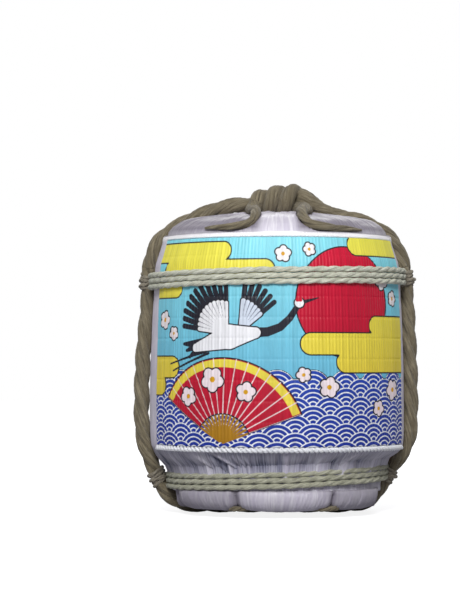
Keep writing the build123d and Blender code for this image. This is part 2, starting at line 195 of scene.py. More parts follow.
def new_material(name):
    """An empty node material with its output node."""
    material = bpy.data.materials.new(name)
    material.use_nodes = True
    material.node_tree.nodes.clear()
    print("material:", name)
    return material, material.node_tree, material.node_tree.nodes.new("ShaderNodeOutputMaterial")


def dress(piece, material, body, *replaced, slot):
    """Give a piece its material, its body and the solids that it stands for. The slot is not used."""
    piece.data.materials.append(material)
    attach(piece, body)
    if replaced:
        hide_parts(*replaced)
    print(piece.name, "rides on", body, "and stands for", replaced or "no solid")


# %% [markdown]
# ## Sizes from the frame
# The mats are drawn round the solids of the frame: the belly radius, the hem and the cord diameters
# come from their boxes. The outline of the mat is a list of given shares of these sizes.


# %% Sizes
def box_mm(name):
    """A node's lowest and highest corners, in millimetres."""
    low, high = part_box(name)
    return np.array(low) / mm, np.array(high) / mm


mat_low, mat_high = box_mm("body_mat")
print_low, print_high = box_mm("printed_mat")
top_low, top_high = box_mm("top_mat")
sling_low, sling_high = box_mm("sling_rope")
upper_low, upper_high = box_mm("upper_band")
lower_low, lower_high = box_mm("lower_band")

mat_thickness = 1.6
print_thickness = 1.2
rope_radius = 5.6
rope_y = (sling_low[1] + sling_high[1]) / 2
band_cord = 1.8
lower_tilt = 2.2
upper_band_z = (upper_low[2] + upper_high[2]) / 2
lower_band_z = (lower_low[2] + lower_high[2]) / 2
lower_line_z = lower_band_z + 2.0
upper_band_radius = upper_high[0] - band_cord
lower_band_radius = lower_high[0] - band_cord + 0.4
foot_z, hem_z = mat_low[2], mat_high[2]
belly = mat_high[0]
rib_width = 2.4
rib_depth, print_rib_depth = 0.42, 0.5
rib_count = int(2 * pi * belly / rib_width)
print("belly", belly.round(2), "hem", hem_z.round(2), "rope y", rope_y.round(2), "ribs", rib_count)

# %% [markdown]
# ## The route of the rope
# One rope carries the cask: down one side, under the foot and up the other side. Over the top its two
# halves are twisted round each other, and both ends come out forwards, bend over the straw and taper
# out along the hem. The mats are soft and are pressed in where the rope lies, so its route comes
# first. Its points are (x, z) in the rope's own upright plane, read off the real one.

# %% Rope route
twist_z = 211.8
twist_reach = 5.7
twist_pitch = 10.8
left_turns_start, right_turns_start = -19.9, 12.5

sling_route = (
    (-86.4, 165.7), (-86.4, 157.0), (-87.0, 146.0), (-88.6, 128.0), (-90.8, 104.0), (-91.7, 78.0),
    (-91.3, 58.0), (-88.9, 44.4), (-84.8, 34.3), (-81.2, 25.8), (-77.6, 18.4), (-72.6, 12.0),
    (-66.4, 7.6), (-59.0, 5.8), (-46.0, 5.4), (-22.0, 5.4), (0.0, 5.4), (22.0, 5.4), (44.0, 5.5),
    (55.5, 6.6), (62.8, 10.2), (68.2, 15.8), (71.8, 22.8), (75.6, 29.4), (81.2, 36.6), (85.8, 43.6),
    (88.7, 51.0), (89.8, 62.0), (90.0, 80.0), (89.4, 104.0), (88.3, 128.0), (87.3, 146.0),
    (86.5, 157.0), (85.4, 165.7),
)
left_shoulder = (
    (-85.2, 171.5), (-82.9, 178.0), (-79.1, 184.4), (-73.2, 189.6), (-64.6, 194.9), (-54.6, 199.8),
    (-44.6, 203.8), (-34.6, 206.8), (-24.5, 208.2),
)
right_shoulder = (
    (84.1, 170.6), (81.5, 177.6), (77.3, 184.3), (71.2, 189.6), (63.2, 194.2), (50.8, 198.6), (38.0, 201.0),
    (30.6, 204.6), (24.0, 209.0), (19.0, 212.9),
)
left_end_route = (
    (-16.5, -15.5, 204.4), (-16.0, -24.0, 202.4), (-14.8, -38.0, 202.0), (-14.0, -52.0, 200.4),
    (-14.8, -62.4, 196.8), (-18.5, -69.6, 192.4), (-27.0, -71.2, 190.0), (-37.0, -67.2, 189.7),
    (-47.0, -60.4, 189.3),
)
right_end_route = (
    (18.0, -13.0, 204.8), (18.6, -22.0, 203.2), (17.4, -36.0, 202.4), (16.2, -50.0, 200.6),
    (16.8, -61.5, 197.0), (20.5, -69.0, 192.4), (29.5, -70.6, 189.8), (42.0, -64.0, 188.9),
    (55.5, -52.8, 188.4),
)


def twist(start_x, towards, from_turn, to_turn):
    """The rope's part in the twist: half a turn in each pitch length, between two counts of half turns.

    It moves on slowly in front and fast behind, so that the turns stand upright as seen from the
    front. Towards the left the twist is lower and thinner.
    """
    t = pi * np.linspace(from_turn, to_turn, int(10 * (to_turn - from_turn)) + 1)
    x = start_x + towards * twist_pitch / pi * (t - towards * 0.5 * np.cos(t))
    left = ramp(x, 3, -19)
    reach = twist_reach * (1 - 0.18 * left)
    z = twist_z - 5.0 * left**1.2 + reach * np.cos(t)
    return np.stack([x, rope_y + towards * reach * np.sin(t), z], axis=1)


def in_plane(points_xz):
    """Points (x, z) of the rope's plane as points in space."""
    return [(x, rope_y, z) for x, z in points_xz]


first_turns = twist(left_turns_start, 1, 0.5, 3.0)
second_turns = twist(right_turns_start, -1, -0.25, 2.5)
first_half = [*in_plane(left_shoulder), *first_turns, *right_end_route]
second_half = [*in_plane(right_shoulder), *second_turns, *left_end_route]
rope_line = smooth_line([*first_half[::-1], *in_plane(sling_route), *second_half], 1.1)
rope_z = rope_line[:, 2]
rope_reach = line_reach(rope_line)
from_end = np.minimum(rope_reach, rope_reach[-1] - rope_reach)

# %% [markdown]
# The rope tapers towards its ends and is a little thinner in the knots and under the cask, where it
# is squeezed. In the twist its strands are pulled tight, so they are thick for their rope and the
# grooves between them are shallow.

# %% Rope sizes
rope_sizes = np.interp(
    from_end,
    (0, 5, 14, 26, 38, 55, 75, 95, 148, 160),
    (0.8, 1.4, 2.2, 2.8, 3.2, 3.7, 4.4, 5.4, 5.4, rope_radius),
)
rope_sizes = rope_sizes * (1 - 0.12 * bell(rope_z - upper_band_z, 7) * (from_end > 170))
rope_sizes = rope_sizes * (1 - 0.07 * bell(rope_z - lower_band_z - 1.0, 6))
rope_sizes = rope_sizes * (1 - 0.07 * ramp(rope_z, 9, 6))
strand_shares = np.interp(
    from_end, (0, 60, 90, 104, 150, 175, 215), (0.56, 0.58, 0.74, 0.80, 0.78, 0.66, 0.58)
)


def route_x(z, side):
    """How far out the rope is at each height, on one side."""
    chosen = (rope_line[:, 0] * side > 50) & (np.abs(rope_line[:, 1] - rope_y) < 0.5) & (rope_z > 10)
    order = np.argsort(rope_z[chosen])
    return np.interp(z, rope_z[chosen][order], np.abs(rope_line[chosen, 0][order]))


press_width = 6.5
press_clearance = 0.25


def pressed(radius, angle, z):
    """The radius of a soft wall, drawn in where the side ropes press on it.

    What the wall lacks to clear the rope is taken off in full at the rope's middle, and fades
    away beside it as a bell curve.
    """
    x, y = radius * np.cos(angle), radius * np.sin(angle)
    for side in (-1, 1):
        inner_edge = route_x(z, side) - rope_radius - press_clearance
        excess = np.maximum(np.abs(x) - inner_edge, 0) * (np.sign(x) == side)
        radius = radius - excess * bell(y - rope_y, press_width)
    return radius


def pressed_down(points, line, sizes, softness=4.0, clearance=0.3):
    """Points lowered under a rope: none is above its underside, and the dent fades out beside it.

    The nearest point of the rope is found in plan. Within its radius r, at a distance d, its
    underside is the root of r squared less d squared below its middle.
    """
    flat = points.reshape(-1, 3).copy()
    sideways = np.hypot(flat[:, None, 0] - line[None, :, 0], flat[:, None, 1] - line[None, :, 1])
    away = sideways - sizes[None, :] * 0.5
    nearest = np.argmin(away, axis=1)
    size = sizes[nearest]
    distance = away[np.arange(len(flat)), nearest] + size * 0.5
    underside = line[nearest, 2] - np.sqrt(np.maximum(size**2 - distance**2, 0)) - clearance
    flat[:, 2] -= np.maximum(flat[:, 2] - underside, 0) * bell(np.maximum(distance - size, 0), softness)
    return flat.reshape(points.shape)


print("rope", rope_reach[-1].round(1), "mm in all")

# %% [markdown]
# ## The woven mat
# The mat is woven from flat straws, now usually polypropylene, that stand upright side by side. Each
# straw is a round rib 2.4 mm wide, held by twined threads in level rows. The ribs are real relief in
# the mesh, four points wide, so that the edge of the mat and its shadows show them too.


# %% Relief of the weave
def waves(values, seed, count=4, longest=1.0):
    """A soft random line: a few sine waves of random phase, each shorter and weaker than the last."""
    random = np.random.default_rng(seed)
    total = np.zeros_like(values, dtype=float)
    for i in range(count):
        length = longest / (1.7**i)
        total += np.sin(2 * pi * values / length + random.uniform(0, 2 * pi)) / (1.5**i)
    return total / count


thread_spacing = 13.5
thread_width = 0.7


def weave_relief(ribs, z, depth):
    """Height of the weave: round ribs with sharp valleys, waisted at each row of twined thread.

    Across a straw the height is the size of a sine to the power 0.65. The straws wander sideways a
    little with the height, and each row of thread takes off a narrow bell.
    """
    wander = 0.16 * waves(z, 11, longest=70.0)
    rib = np.abs(np.sin(pi * (ribs + wander))) ** 0.65
    row = bell((((z - foot_z) / thread_spacing) % 1.0 - 0.5) * thread_spacing, thread_width)
    return depth * (rib - 0.7) - 0.22 * row


# Each point: a share of the belly's radius, and a share of the mat's height.
mat_profile_shares = (
    (0.827, 0.0), (0.827, 0.050), (0.837, 0.079), (0.857, 0.0963), (0.892, 0.1156), (0.929, 0.132),
    (0.964, 0.149), (0.988, 0.169), (1.000, 0.198), (1.001, 0.330), (0.998, 0.500), (0.990, 0.650),
    (0.9775, 0.782), (0.972, 0.8405), (0.963, 0.884), (0.942, 0.919), (0.9246, 0.9485),
    (0.9095, 0.9806), (0.9037, 1.0),
)
mat_profile = smooth_line(
    [(r * belly, foot_z + h * (hem_z - foot_z)) for r, h in mat_profile_shares], 0.5
)


def mat_radius(z):
    """Outer radius of the body mat at each height, from its outline."""
    return np.interp(z, mat_profile[:, 1], mat_profile[:, 0])


# %% [markdown]
# Under the belly the mat is drawn in by the lower band, and the width that it has too much stands up
# in folds. Each fold is a narrow bell-shaped ridge or crease that leans a little, strongest half way
# down and almost pressed flat under the band.


# %% Gathered folds
fold_radius = 80.0
fold_top, fold_neck = foot_z + 29.0, foot_z + 15.0


def gathered(from_front, z, seed=5):
    """Relief of the folds between the belly and the neck, a sum of leaning bell-shaped ridges.

    The folds in front are placed one by one, as (angle in degrees, lean, width, height); a lean
    is how far the fold moves sideways in each millimetre down. Those of the back are random.
    """
    random = np.random.default_rng(seed)
    front = [
        (-58, 0.5, 2.4, 0.9), (-47, 0.9, 3.2, -1.0), (-38, 1.2, 2.2, 1.2), (-28.5, 1.4, 2.6, -2.6),
        (-25.5, 1.4, 1.7, 1.9), (-19.5, 0.5, 0.9, 0.9), (-17.2, 0.5, 0.9, 1.0), (-14.6, 0.5, 0.9, 0.8),
        (-7, 0.1, 3.5, -0.6), (1.2, 0.0, 1.5, -1.8), (4.2, 0.1, 1.5, 1.6), (13, -0.3, 3.0, -0.7),
        (21, -0.5, 1.6, 0.9), (29, -0.8, 2.4, -1.3), (36, -1.1, 2.0, 1.6), (45, -0.9, 3.0, -1.0),
        (56, -0.7, 2.2, 1.1), (66, -0.5, 2.8, -0.9),
    ]
    back = [
        (
            angle, random.uniform(-1.1, 1.1), random.uniform(1.2, 3.2),
            random.choice([-1.0, 1.0]) * random.uniform(0.8, 2.0),
        )
        for angle in np.arange(76, 290, 8.5) + random.uniform(-2.0, 2.0, 26)
    ]
    envelope = ramp(z, fold_top, fold_top - 7.0) ** 1.2 * (0.1 + 0.9 * ramp(z, fold_neck, fold_neck + 4.0))
    relief = np.zeros(np.broadcast(from_front, z).shape)
    for angle, lean, width, height in front + back:
        away = (from_front - radians(angle) + pi) % (2 * pi) - pi
        arc = away * fold_radius - lean * (fold_top - 6.0 - z)
        relief = relief + height * bell(arc, width)
    return relief * envelope


# %% [markdown]
# The mat is one closed surface: up its face, over a rolled hem and down inside. Three attributes go
# with it for the material: where cold blue-grey shade and dark reflection are painted on the drawn-in
# part, where the clean white hem is, and where a grey shadow is painted on the hem under the straw of
# the top.


# %% Body mat
hem_swell, hem_wave, hem_drop = 0.9, 0.5, 1.2


def make_body_mat():
    """The white mat: its outline turned once round the cask, up along the face and down inside.

    The radius is the outline's, plus the weave and the folds, and drawn in at the ropes. The
    height waves a little at the hem and tilts with the lower band.
    """
    outer_z = np.concatenate([
        np.linspace(foot_z, foot_z + 31, 30, endpoint=False),
        np.linspace(foot_z + 31, hem_z - 24, 30, endpoint=False),
        np.linspace(hem_z - 24, hem_z - 0.6, 14),
    ])
    inner_z = np.linspace(hem_z - 0.6, foot_z, 9)
    roll = np.array([0.6, 1.0, 0.8, 0.2])
    roll_z = hem_z - 0.6 + 0.9 * np.sin(np.linspace(0.3, pi - 0.3, len(roll)))
    z = np.concatenate([outer_z, roll_z, inner_z])
    depth = mat_thickness * np.concatenate([0 * outer_z, 1 - roll, 0 * inner_z + 1])[:, None]
    face = np.concatenate([0 * outer_z + 1, roll * 0.8, 0 * inner_z])[:, None]
    columns = 4 * rib_count
    angle = np.arange(columns)[None, :] * 2 * pi / columns
    from_front = (angle + pi / 2 + pi) % (2 * pi) - pi
    z_grid = np.repeat(z[:, None], columns, axis=1)
    relief = weave_relief(angle * rib_count / (2 * pi), z_grid, rib_depth)
    relief = relief + hem_swell * bell(z_grid - hem_z + 2.0, 1.6)
    radius = mat_radius(z_grid) - depth + face * relief + gathered(from_front, z_grid)
    radius = pressed(radius, angle, z_grid)
    z_grid = z_grid + hem_wave * waves(from_front * belly, 3, longest=90.0) * (z_grid > hem_z - 6)
    slant = ramp(z_grid, foot_z + 1, foot_z + 9) * ramp(z_grid, foot_z + 28, foot_z + 20)
    z_grid = z_grid + lower_tilt * np.cos(angle) * slant
    z_grid = z_grid - hem_drop * ramp(z_grid, hem_z - 12, hem_z)
    # Painted shade and dark reflection under the belly: strongest in a patch left of the front, lighter on
    # the ridges of the folds and darker in their creases.
    zone = np.interp(z_grid - foot_z, (6, 12, 19, 23, 28, 29.5), (0.3, 1.0, 1.0, 0.72, 0.72, 0.0))
    across = radius * np.sin(from_front)
    painted_dark_patch = bell(across + 20.0, 27.0, 4) * (np.abs(from_front) < 1.5)
    uneven = waves(from_front * fold_radius + 15.0, 17, count=3, longest=130.0)
    painted_steel_shade = zone * (0.72 + 0.28 * painted_dark_patch + 0.15 * uneven) - 0.28 * gathered(from_front, z_grid)
    # Painted shadow: a grey band along the top of the hem, left out under the front lobe.
    under_lobe = bell(across - 2.0, 14.0, 4) * (np.abs(from_front) < 1)
    shade = 0.8 * ramp(z_grid, hem_z - 1.9, hem_z - 1.4) * (1 - under_lobe)
    hem = ramp(z_grid, hem_z - 5.2, hem_z - 4.4) * (1 - shade)
    quads = grid_quads(len(z), columns, close_rows=True, close_columns=True)
    attributes = {"painted_steel_shade": np.clip(painted_steel_shade, 0, 1), "hem": hem, "shade": shade}
    return make_piece("woven_body_mat", ring(radius, angle, z_grid), quads, attributes=attributes)


body_mat = make_body_mat()

# %% [markdown]
# ## The printed mat
# A second mat with a picture is laid over the front. The picture here is a festive one of common
# motifs: a red sun among gold mist bands, blue-ocean waves, a flying crane, a fan and plum blossoms.
# Each motif is a signed distance: a number at every point of the mat that is below zero inside the
# motif. The shader inks it where that number is below zero, which keeps the edges crisp even though
# the mesh points are more than half a millimetre apart.


# %% Distances to shapes
def disc(u, v, middle, radius):
    """Distance to a disc."""
    return np.hypot(u - middle[0], v - middle[1]) - radius


def tapered(u, v, start, end, start_radius, end_radius):
    """Distance to a rounded stroke from one point to another, whose radius changes evenly."""
    ex, ey = end[0] - start[0], end[1] - start[1]
    share = np.clip(((u - start[0]) * ex + (v - start[1]) * ey) / (ex * ex + ey * ey), 0, 1)
    radius = start_radius + (end_radius - start_radius) * share
    return np.hypot(u - start[0] - ex * share, v - start[1] - ey * share) - radius


def joined(distances, softness=0.0):
    """Distance to several shapes at once: the least of them, with the inner corners rounded."""
    total = distances[0]
    for other in distances[1:]:
        total = np.minimum(total, other)
        if softness:
            total = total - np.maximum(softness - np.abs(total - other), 0) ** 2 * 0.25 / softness
    return total


def plum(u, v, middle, size, turn=0.0):
    """Distance to a plum blossom: five round petals about a middle."""
    petals = [
        disc(u, v, (middle[0] + size * 0.58 * np.cos(a), middle[1] + size * 0.58 * np.sin(a)), size * 0.46)
        for a in turn + np.arange(5) * 2 * pi / 5
    ]
    return joined(petals, 0.6)


# %% [markdown]
# The wave pattern is the old blue-ocean one: rows of overlapping discs, each drawn with rings, where
# a lower row covers the one above it.


# %% Blue-ocean waves
def ocean(u, v, top, radius=11.5, rings=4, half_line=0.42):
    """Distance to the whole sea, and to its rings, from rows of discs that overlap like scales."""
    gap = radius / rings
    sea = np.full(u.shape, 1e3)
    ring_line = np.full(u.shape, 1e3)
    for row in range(12):
        row_v = top - radius - row * radius / 2
        shift = radius * (row % 2)
        nearest = np.round((u - shift) / (2 * radius)) * 2 * radius + shift
        reach = np.hypot(u - nearest, v - row_v)
        sea = np.minimum(sea, reach - radius)
        line = np.abs((reach + gap / 2) % gap - gap / 2) - half_line
        ring_line = np.where(reach < radius + half_line, line, ring_line)
    return sea, np.maximum(ring_line, sea - half_line)


# %% [markdown]
# The crane is made of strokes that get thinner or thicker. A wing is a spread of feathers: each is a
# white stroke from the shoulder with a black one at its end, and fine dark lines part the feathers.


# %% Crane
def feathers(u, v, shoulder, angles, lengths):
    """Distances to one spread wing: its white coverts, its black tips and the lines between them."""
    whites, blacks, lines = [], [], []
    spread = radians(abs(angles[-1] - angles[0])) / (len(angles) - 1)
    for angle_deg, length in zip(angles, lengths):
        direction = np.array([np.cos(radians(angle_deg)), np.sin(radians(angle_deg))])
        middle = shoulder + direction * length * 0.60
        tip = shoulder + direction * length
        half_width = spread * length * 0.5
        whites.append(tapered(u, v, shoulder, middle, 1.5, half_width * 0.78))
        blacks.append(tapered(u, v, middle, tip, half_width * 0.70, half_width * 0.72))
    for angle_deg, length in zip(np.add(angles[:-1], angles[1:]) / 2, lengths[:-1]):
        direction = np.array([np.cos(radians(angle_deg)), np.sin(radians(angle_deg))])
        start, end = shoulder + direction * length * 0.3, shoulder + direction * length * 0.62
        lines.append(tapered(u, v, start, end, 0.12, 0.32))
    return joined(whites), joined(blacks), joined(lines)


def crane(u, v):
    """Distances to a flying crane, part by part, from the far wing to the crown."""
    far_white, far_black, far_lines = feathers(
        u, v, np.array([-24.0, 6.0]), np.linspace(40, 84, 6), np.linspace(29, 33, 6)
    )
    near_white, near_black, near_lines = feathers(
        u, v, np.array([-33.0, 5.0]), np.linspace(92, 172, 11), 31.0 + 6.0 * np.sin(np.linspace(0.2, 2.6, 11))
    )
    body = joined([
        tapered(u, v, (-56.0, -4.5), (-31.0, 2.5), 3.0, 8.0),
        tapered(u, v, (-31, 2.5), (-14.0, 5.0), 8.0, 3.6),
    ], 1.0)
    tail = joined([
        tapered(u, v, (-50.0, -2.0), (-66.0 + 2.5 * i, -2.0 - 4.2 * i), 4.0 - 0.5 * i, 1.1) for i in range(3)
    ])
    legs = joined([
        tapered(u, v, (-48.0, -7.0), (-80.0, -15.0), 0.9, 0.55),
        tapered(u, v, (-46.0, -8.0), (-77.0, -19.5), 0.9, 0.55),
    ])
    neck_points = ((-15.0, 5.2), (-6.0, 5.6), (2.0, 8.6), (8.0, 14.2), (12.5, 21.0))
    neck = joined([
        tapered(u, v, start, end, 3.3 - 0.35 * i, 2.95 - 0.35 * i)
        for i, (start, end) in enumerate(zip(neck_points, neck_points[1:]))
    ])
    head = disc(u, v, (14.4, 24.2), 3.3)
    beak = tapered(u, v, (16.5, 24.6), (27.5, 27.6), 1.35, 0.3)
    return {
        "crane_far_tips": far_black, "crane_far_wing": far_white, "crane_far_lines": far_lines,
        "crane_dark": joined([tail, legs, neck, beak]), "crane_tips": near_black,
        "crane_white": joined([near_white, body, head], 0.4), "crane_lines": near_lines,
        "crown": np.maximum(disc(u, v, (14.2, 26.2), 2.2), 25.0 - v),
    }


# %% [markdown]
# The motifs are laid out on the mat as if it were flat: u runs along the belly and v up from the
# middle, both in millimetres. The fan is a ring cut to a wedge, and its pleats are lines of even turn.


# %% Picture
def picture(u, v):
    """All motifs of the print as distances in millimetres, in the order in which they are inked."""
    sun = disc(u, v, (48.0, 25.0), 36.0)
    mist = joined([
        tapered(u, v, (-110.0, 58.0), (-38.0, 58.0), 6.4, 6.4),
        tapered(u, v, (-84.0, 46.0), (-8.0, 46.0), 6.0, 6.0),
        tapered(u, v, (-110.0, 34.5), (-76.0, 34.5), 5.6, 5.6),
        tapered(u, v, (22.0, -2.0), (120.0, -2.0), 6.6, 6.6),
        tapered(u, v, (46.0, -14.0), (120.0, -14.0), 6.2, 6.2),
        tapered(u, v, (72.0, 9.8), (120.0, 9.8), 5.8, 5.8),
        tapered(u, v, (58.0, 62.0), (120.0, 62.0), 6.0, 6.0),
        tapered(u, v, (-120.0, -17.0), (-78.0, -17.0), 6.5, 6.5),
        tapered(u, v, (-120.0, -29.0), (-92.0, -29.0), 6.0, 6.0),
    ], 2.5)
    sea, rings = ocean(u, v, -19.0)
    pivot = (-36.0, -66.0)
    reach = np.hypot(u - pivot[0], v - pivot[1])
    turn = np.arctan2(v - pivot[1], u - pivot[0])
    open_from, open_to, pleat_count = radians(20.0), radians(148.0), 15
    side = np.maximum(open_from - turn, turn - open_to) * reach
    fan = np.maximum(np.maximum(reach - 55.0, 19.0 - reach), side)
    fan_rim = np.maximum(fan + 0.9, 49.0 - reach)
    pleat = (open_to - open_from) / pleat_count
    from_fold = np.abs((turn - open_from + pleat / 2) % pleat - pleat / 2) * reach
    pleats = np.maximum(from_fold - 0.34, fan)
    sticks = np.maximum(np.maximum(from_fold - 0.8, side - 0.7), reach - 19.5)
    places = (
        (-62.0, -36.0, 6.2), (-43.0, -25.0, 8.0), (-20.0, -33.0, 6.4), (80.0, 40.0, 6.8), (93.0, 28.0, 5.2),
        (90.0, -32.0, 6.8), (74.0, -44.0, 5.2), (-88.0, 14.0, 6.0), (-77.0, 5.0, 4.6), (34.0, -30.0, 6.6),
        (17.0, -22.0, 4.8), (4.0, 56.0, 5.4), (22.0, 59.0, 4.4),
    )
    blossoms = joined([plum(u, v, (x, y), size, x) for x, y, size in places])
    hearts = joined([disc(u, v, (x, y), size * 0.24) for x, y, size in places])
    return {
        "sun": sun, "sea": sea, "rings": rings, "mist": mist, "sticks": sticks, "fan": fan,
        "fan_rim": fan_rim, "pleats": pleats, "blossoms": blossoms, "hearts": hearts, **crane(u, v),
    }


# %% [markdown]
# The mat itself is a patch of the same weave, closed all round, that lies on the body mat and buckles
# a little. The distances to the motifs go with its points as attributes.

# %% Printed mat
print_left, print_right = radians(-66.0), radians(71.0)
print_top = print_high[2] - 1.5
buckle_depth = 0.35


def make_printed_mat():
    """The printed mat: a patch of the same weave that lies on the body mat, with closed edges.

    Its picture is laid out flat, in u, millimetres along the belly, and v, millimetres up from
    its middle.
    """
    ribs = int((print_right - print_left) * rib_count / (2 * pi))
    columns = 4 * ribs + 1
    from_front = np.linspace(print_left, print_right, columns)[None, :]
    angle = from_front - pi / 2
    outer_z = np.linspace(print_low[2] + 0.3, print_top - 0.3, 234)
    inner_z = np.linspace(print_top, print_low[2], 7)
    z = np.concatenate([outer_z, inner_z])
    is_outer = np.concatenate([0 * outer_z + 1, 0 * inner_z])[:, None]
    z_grid = np.repeat(z[:, None], columns, axis=1)
    rib_place = (from_front - print_left) * ribs / (print_right - print_left)
    buckle = buckle_depth * waves(from_front * belly + z_grid * 0.6, 8, longest=47.0)
    outside = is_outer * (print_thickness + weave_relief(rib_place, z_grid, print_rib_depth) + buckle)
    radius = pressed(mat_radius(z_grid) + 0.05 + outside, angle, z_grid)
    quads = grid_quads(len(z), columns, close_rows=True)
    ends = [np.arange(len(z)) * columns, (np.arange(len(z)) * columns + columns - 1)[::-1]]
    middle_z = (print_low[2] + print_high[2]) / 2
    attributes = picture(from_front * belly + 0 * z_grid, z_grid - middle_z)
    return make_piece("printed_front_mat", ring(radius, angle, z_grid), quads, ends, attributes)


printed_mat = make_printed_mat()

# %% [markdown]
# ## Folded straw
# Top and foot are the loose ends of the straw, bent over and tied down, so they swell in lobes
# between the creases where cords hold them. They could be a simulated cloth, but straw bundles are
# stiff and hold their shape, so both are an outline turned round the axis, whose radius or height
# drops along each crease, and which is dented where the ropes press on it.


# %% Creases and turned outlines
def crease(angle, middles, width):
    """One along each crease and none in the middle of a lobe, with a sharp bottom."""
    away = np.min([np.abs((angle - middle + pi) % (2 * pi) - pi) for middle in middles], axis=0)
    return np.exp(-away / width)


def turned(outline, ribs):
    """An outline turned round the axis: both angles as a row, and grids of the radius and height."""
    from_front = np.linspace(-pi, pi, 4 * ribs, endpoint=False)[None, :]
    return from_front, from_front - pi / 2, outline[:, :1] + 0 * from_front, outline[:, 1:] + 0 * from_front


def capped(name, points, attributes):
    """A piece from the grid of a turned outline, with a flat cap at each of its ends."""
    rows, columns = points.shape[:2]
    caps = [np.arange(columns)[::-1], np.arange(columns) + (rows - 1) * columns]
    return make_piece(name, points, grid_quads(rows, columns, close_columns=True), caps, attributes)


# %% [markdown]
# At the foot the ends of the straw are bent in under the cask and tied by the lower band, so it is a
# low ring of eight lobes that stands on the ground. The rope crosses under it in a groove.

# %% Folded foot
foot_creases = [radians(a) for a in (-156, -112, -66, -22.3, 31, 69, 112, 157)]
foot_waist = (72.2, 18.0)
foot_crease_depth, foot_sag = 5.5, 2.4
foot_side_limit = 65.0
rope_bed = 5.4 + rope_radius + 0.2


def make_foot():
    """The folded foot: a lobed ring of straw, drawn in where the lower band ties it.

    Its outline is (radius, height). Each crease takes some millimetres off the radius, the outer
    straw sags between the creases, and the straw keeps clear of the rope that runs under it.
    """
    outline = smooth_line(
        [(1.0, 7.4), (22.0, 6.8), (46.0, 5.6), (60.0, 4.7), (68.0, 5.4), (72.6, 8.6), (74.4, 12.6),
         (74.3, 16.4), (73.2, 18.4), foot_waist, (71.0, 15.6), (68.4, 16.6), (66.4, 22.0), (66.0, 33.0),
         (58.0, 34.6), (30.0, 35.0), (1.0, 35.0)], 1.6)
    ribs = 180
    from_front, angle, radius, z = turned(outline, ribs)
    is_lobe = (np.arange(len(outline)) < np.argmin(np.abs(outline - foot_waist).sum(axis=1)))[:, None]
    low_share = is_lobe * np.clip(radius / 60, 0, 1) * (0.35 + 0.65 * ramp(z, 18.5, 13.5))
    fold = crease(from_front, foot_creases, 0.045)
    swell = 0.9 * waves(from_front * 70, 21, longest=40.0)
    radius = radius + (swell - foot_crease_depth * fold) * low_share
    towards_side = np.abs(np.cos(angle))
    sideways = ramp(towards_side, 0.75, 0.95)
    side_limit = foot_side_limit / np.maximum(towards_side, 0.5)
    radius = np.minimum(radius, side_limit * sideways + 99 * (1 - sideways))
    sag = ramp(z, 9.0, 5.0) * np.clip(radius / 40, 0, 1) * is_lobe
    z = z + (foot_sag * fold + 1.0 * waves(from_front * 70, 23, longest=75.0)) * sag
    slant = from_front * ribs / (2 * pi) + 0.16 * (z - 8) * np.cos(2.2 * from_front + 2.0)
    relief = 0.5 * (np.abs(np.sin(pi * slant)) ** 0.7 - 0.6) + 0.45 * waves(slant * 2.4, 27, longest=9.0)
    radius = radius + relief * low_share
    under_rope = bell(radius * np.sin(angle) - rope_y, press_width)
    z = z + np.maximum(rope_bed - z, 0) * under_rope * (z < 12)
    for side in (-1, 1):
        side_edge = route_x(np.maximum(z, 10.5), side) - rope_radius - press_clearance
        excess = np.maximum(radius * np.cos(angle) * side - side_edge, 0)
        radius = radius - excess * under_rope * (z < 20)
    # Painted shade: the foot is grey all round, darker in its creases and lighter on the lobe in front.
    middle_lobe = bell(from_front - 0.08, 0.48, 4)
    shade = np.clip(0.62 - 0.34 * middle_lobe + 0.5 * fold, 0, 1).repeat(len(outline), axis=0)
    return capped("folded_foot", ring(radius, angle, z), {"shade": shade})


foot = make_foot()

# %% [markdown]
# At the top the straw is bent in over the lid: a flat crown inside the hem, with a fold on each side
# of the back where a doubled cord holds it, and a lobe in front that swells between the two rope
# ends. The carrying rope lies on it and dents it.

# %% Folded top
back_crease, back_crease_depth = radians(136.0), 5.0
front_drop, lobe_rise = 3.0, 1.2


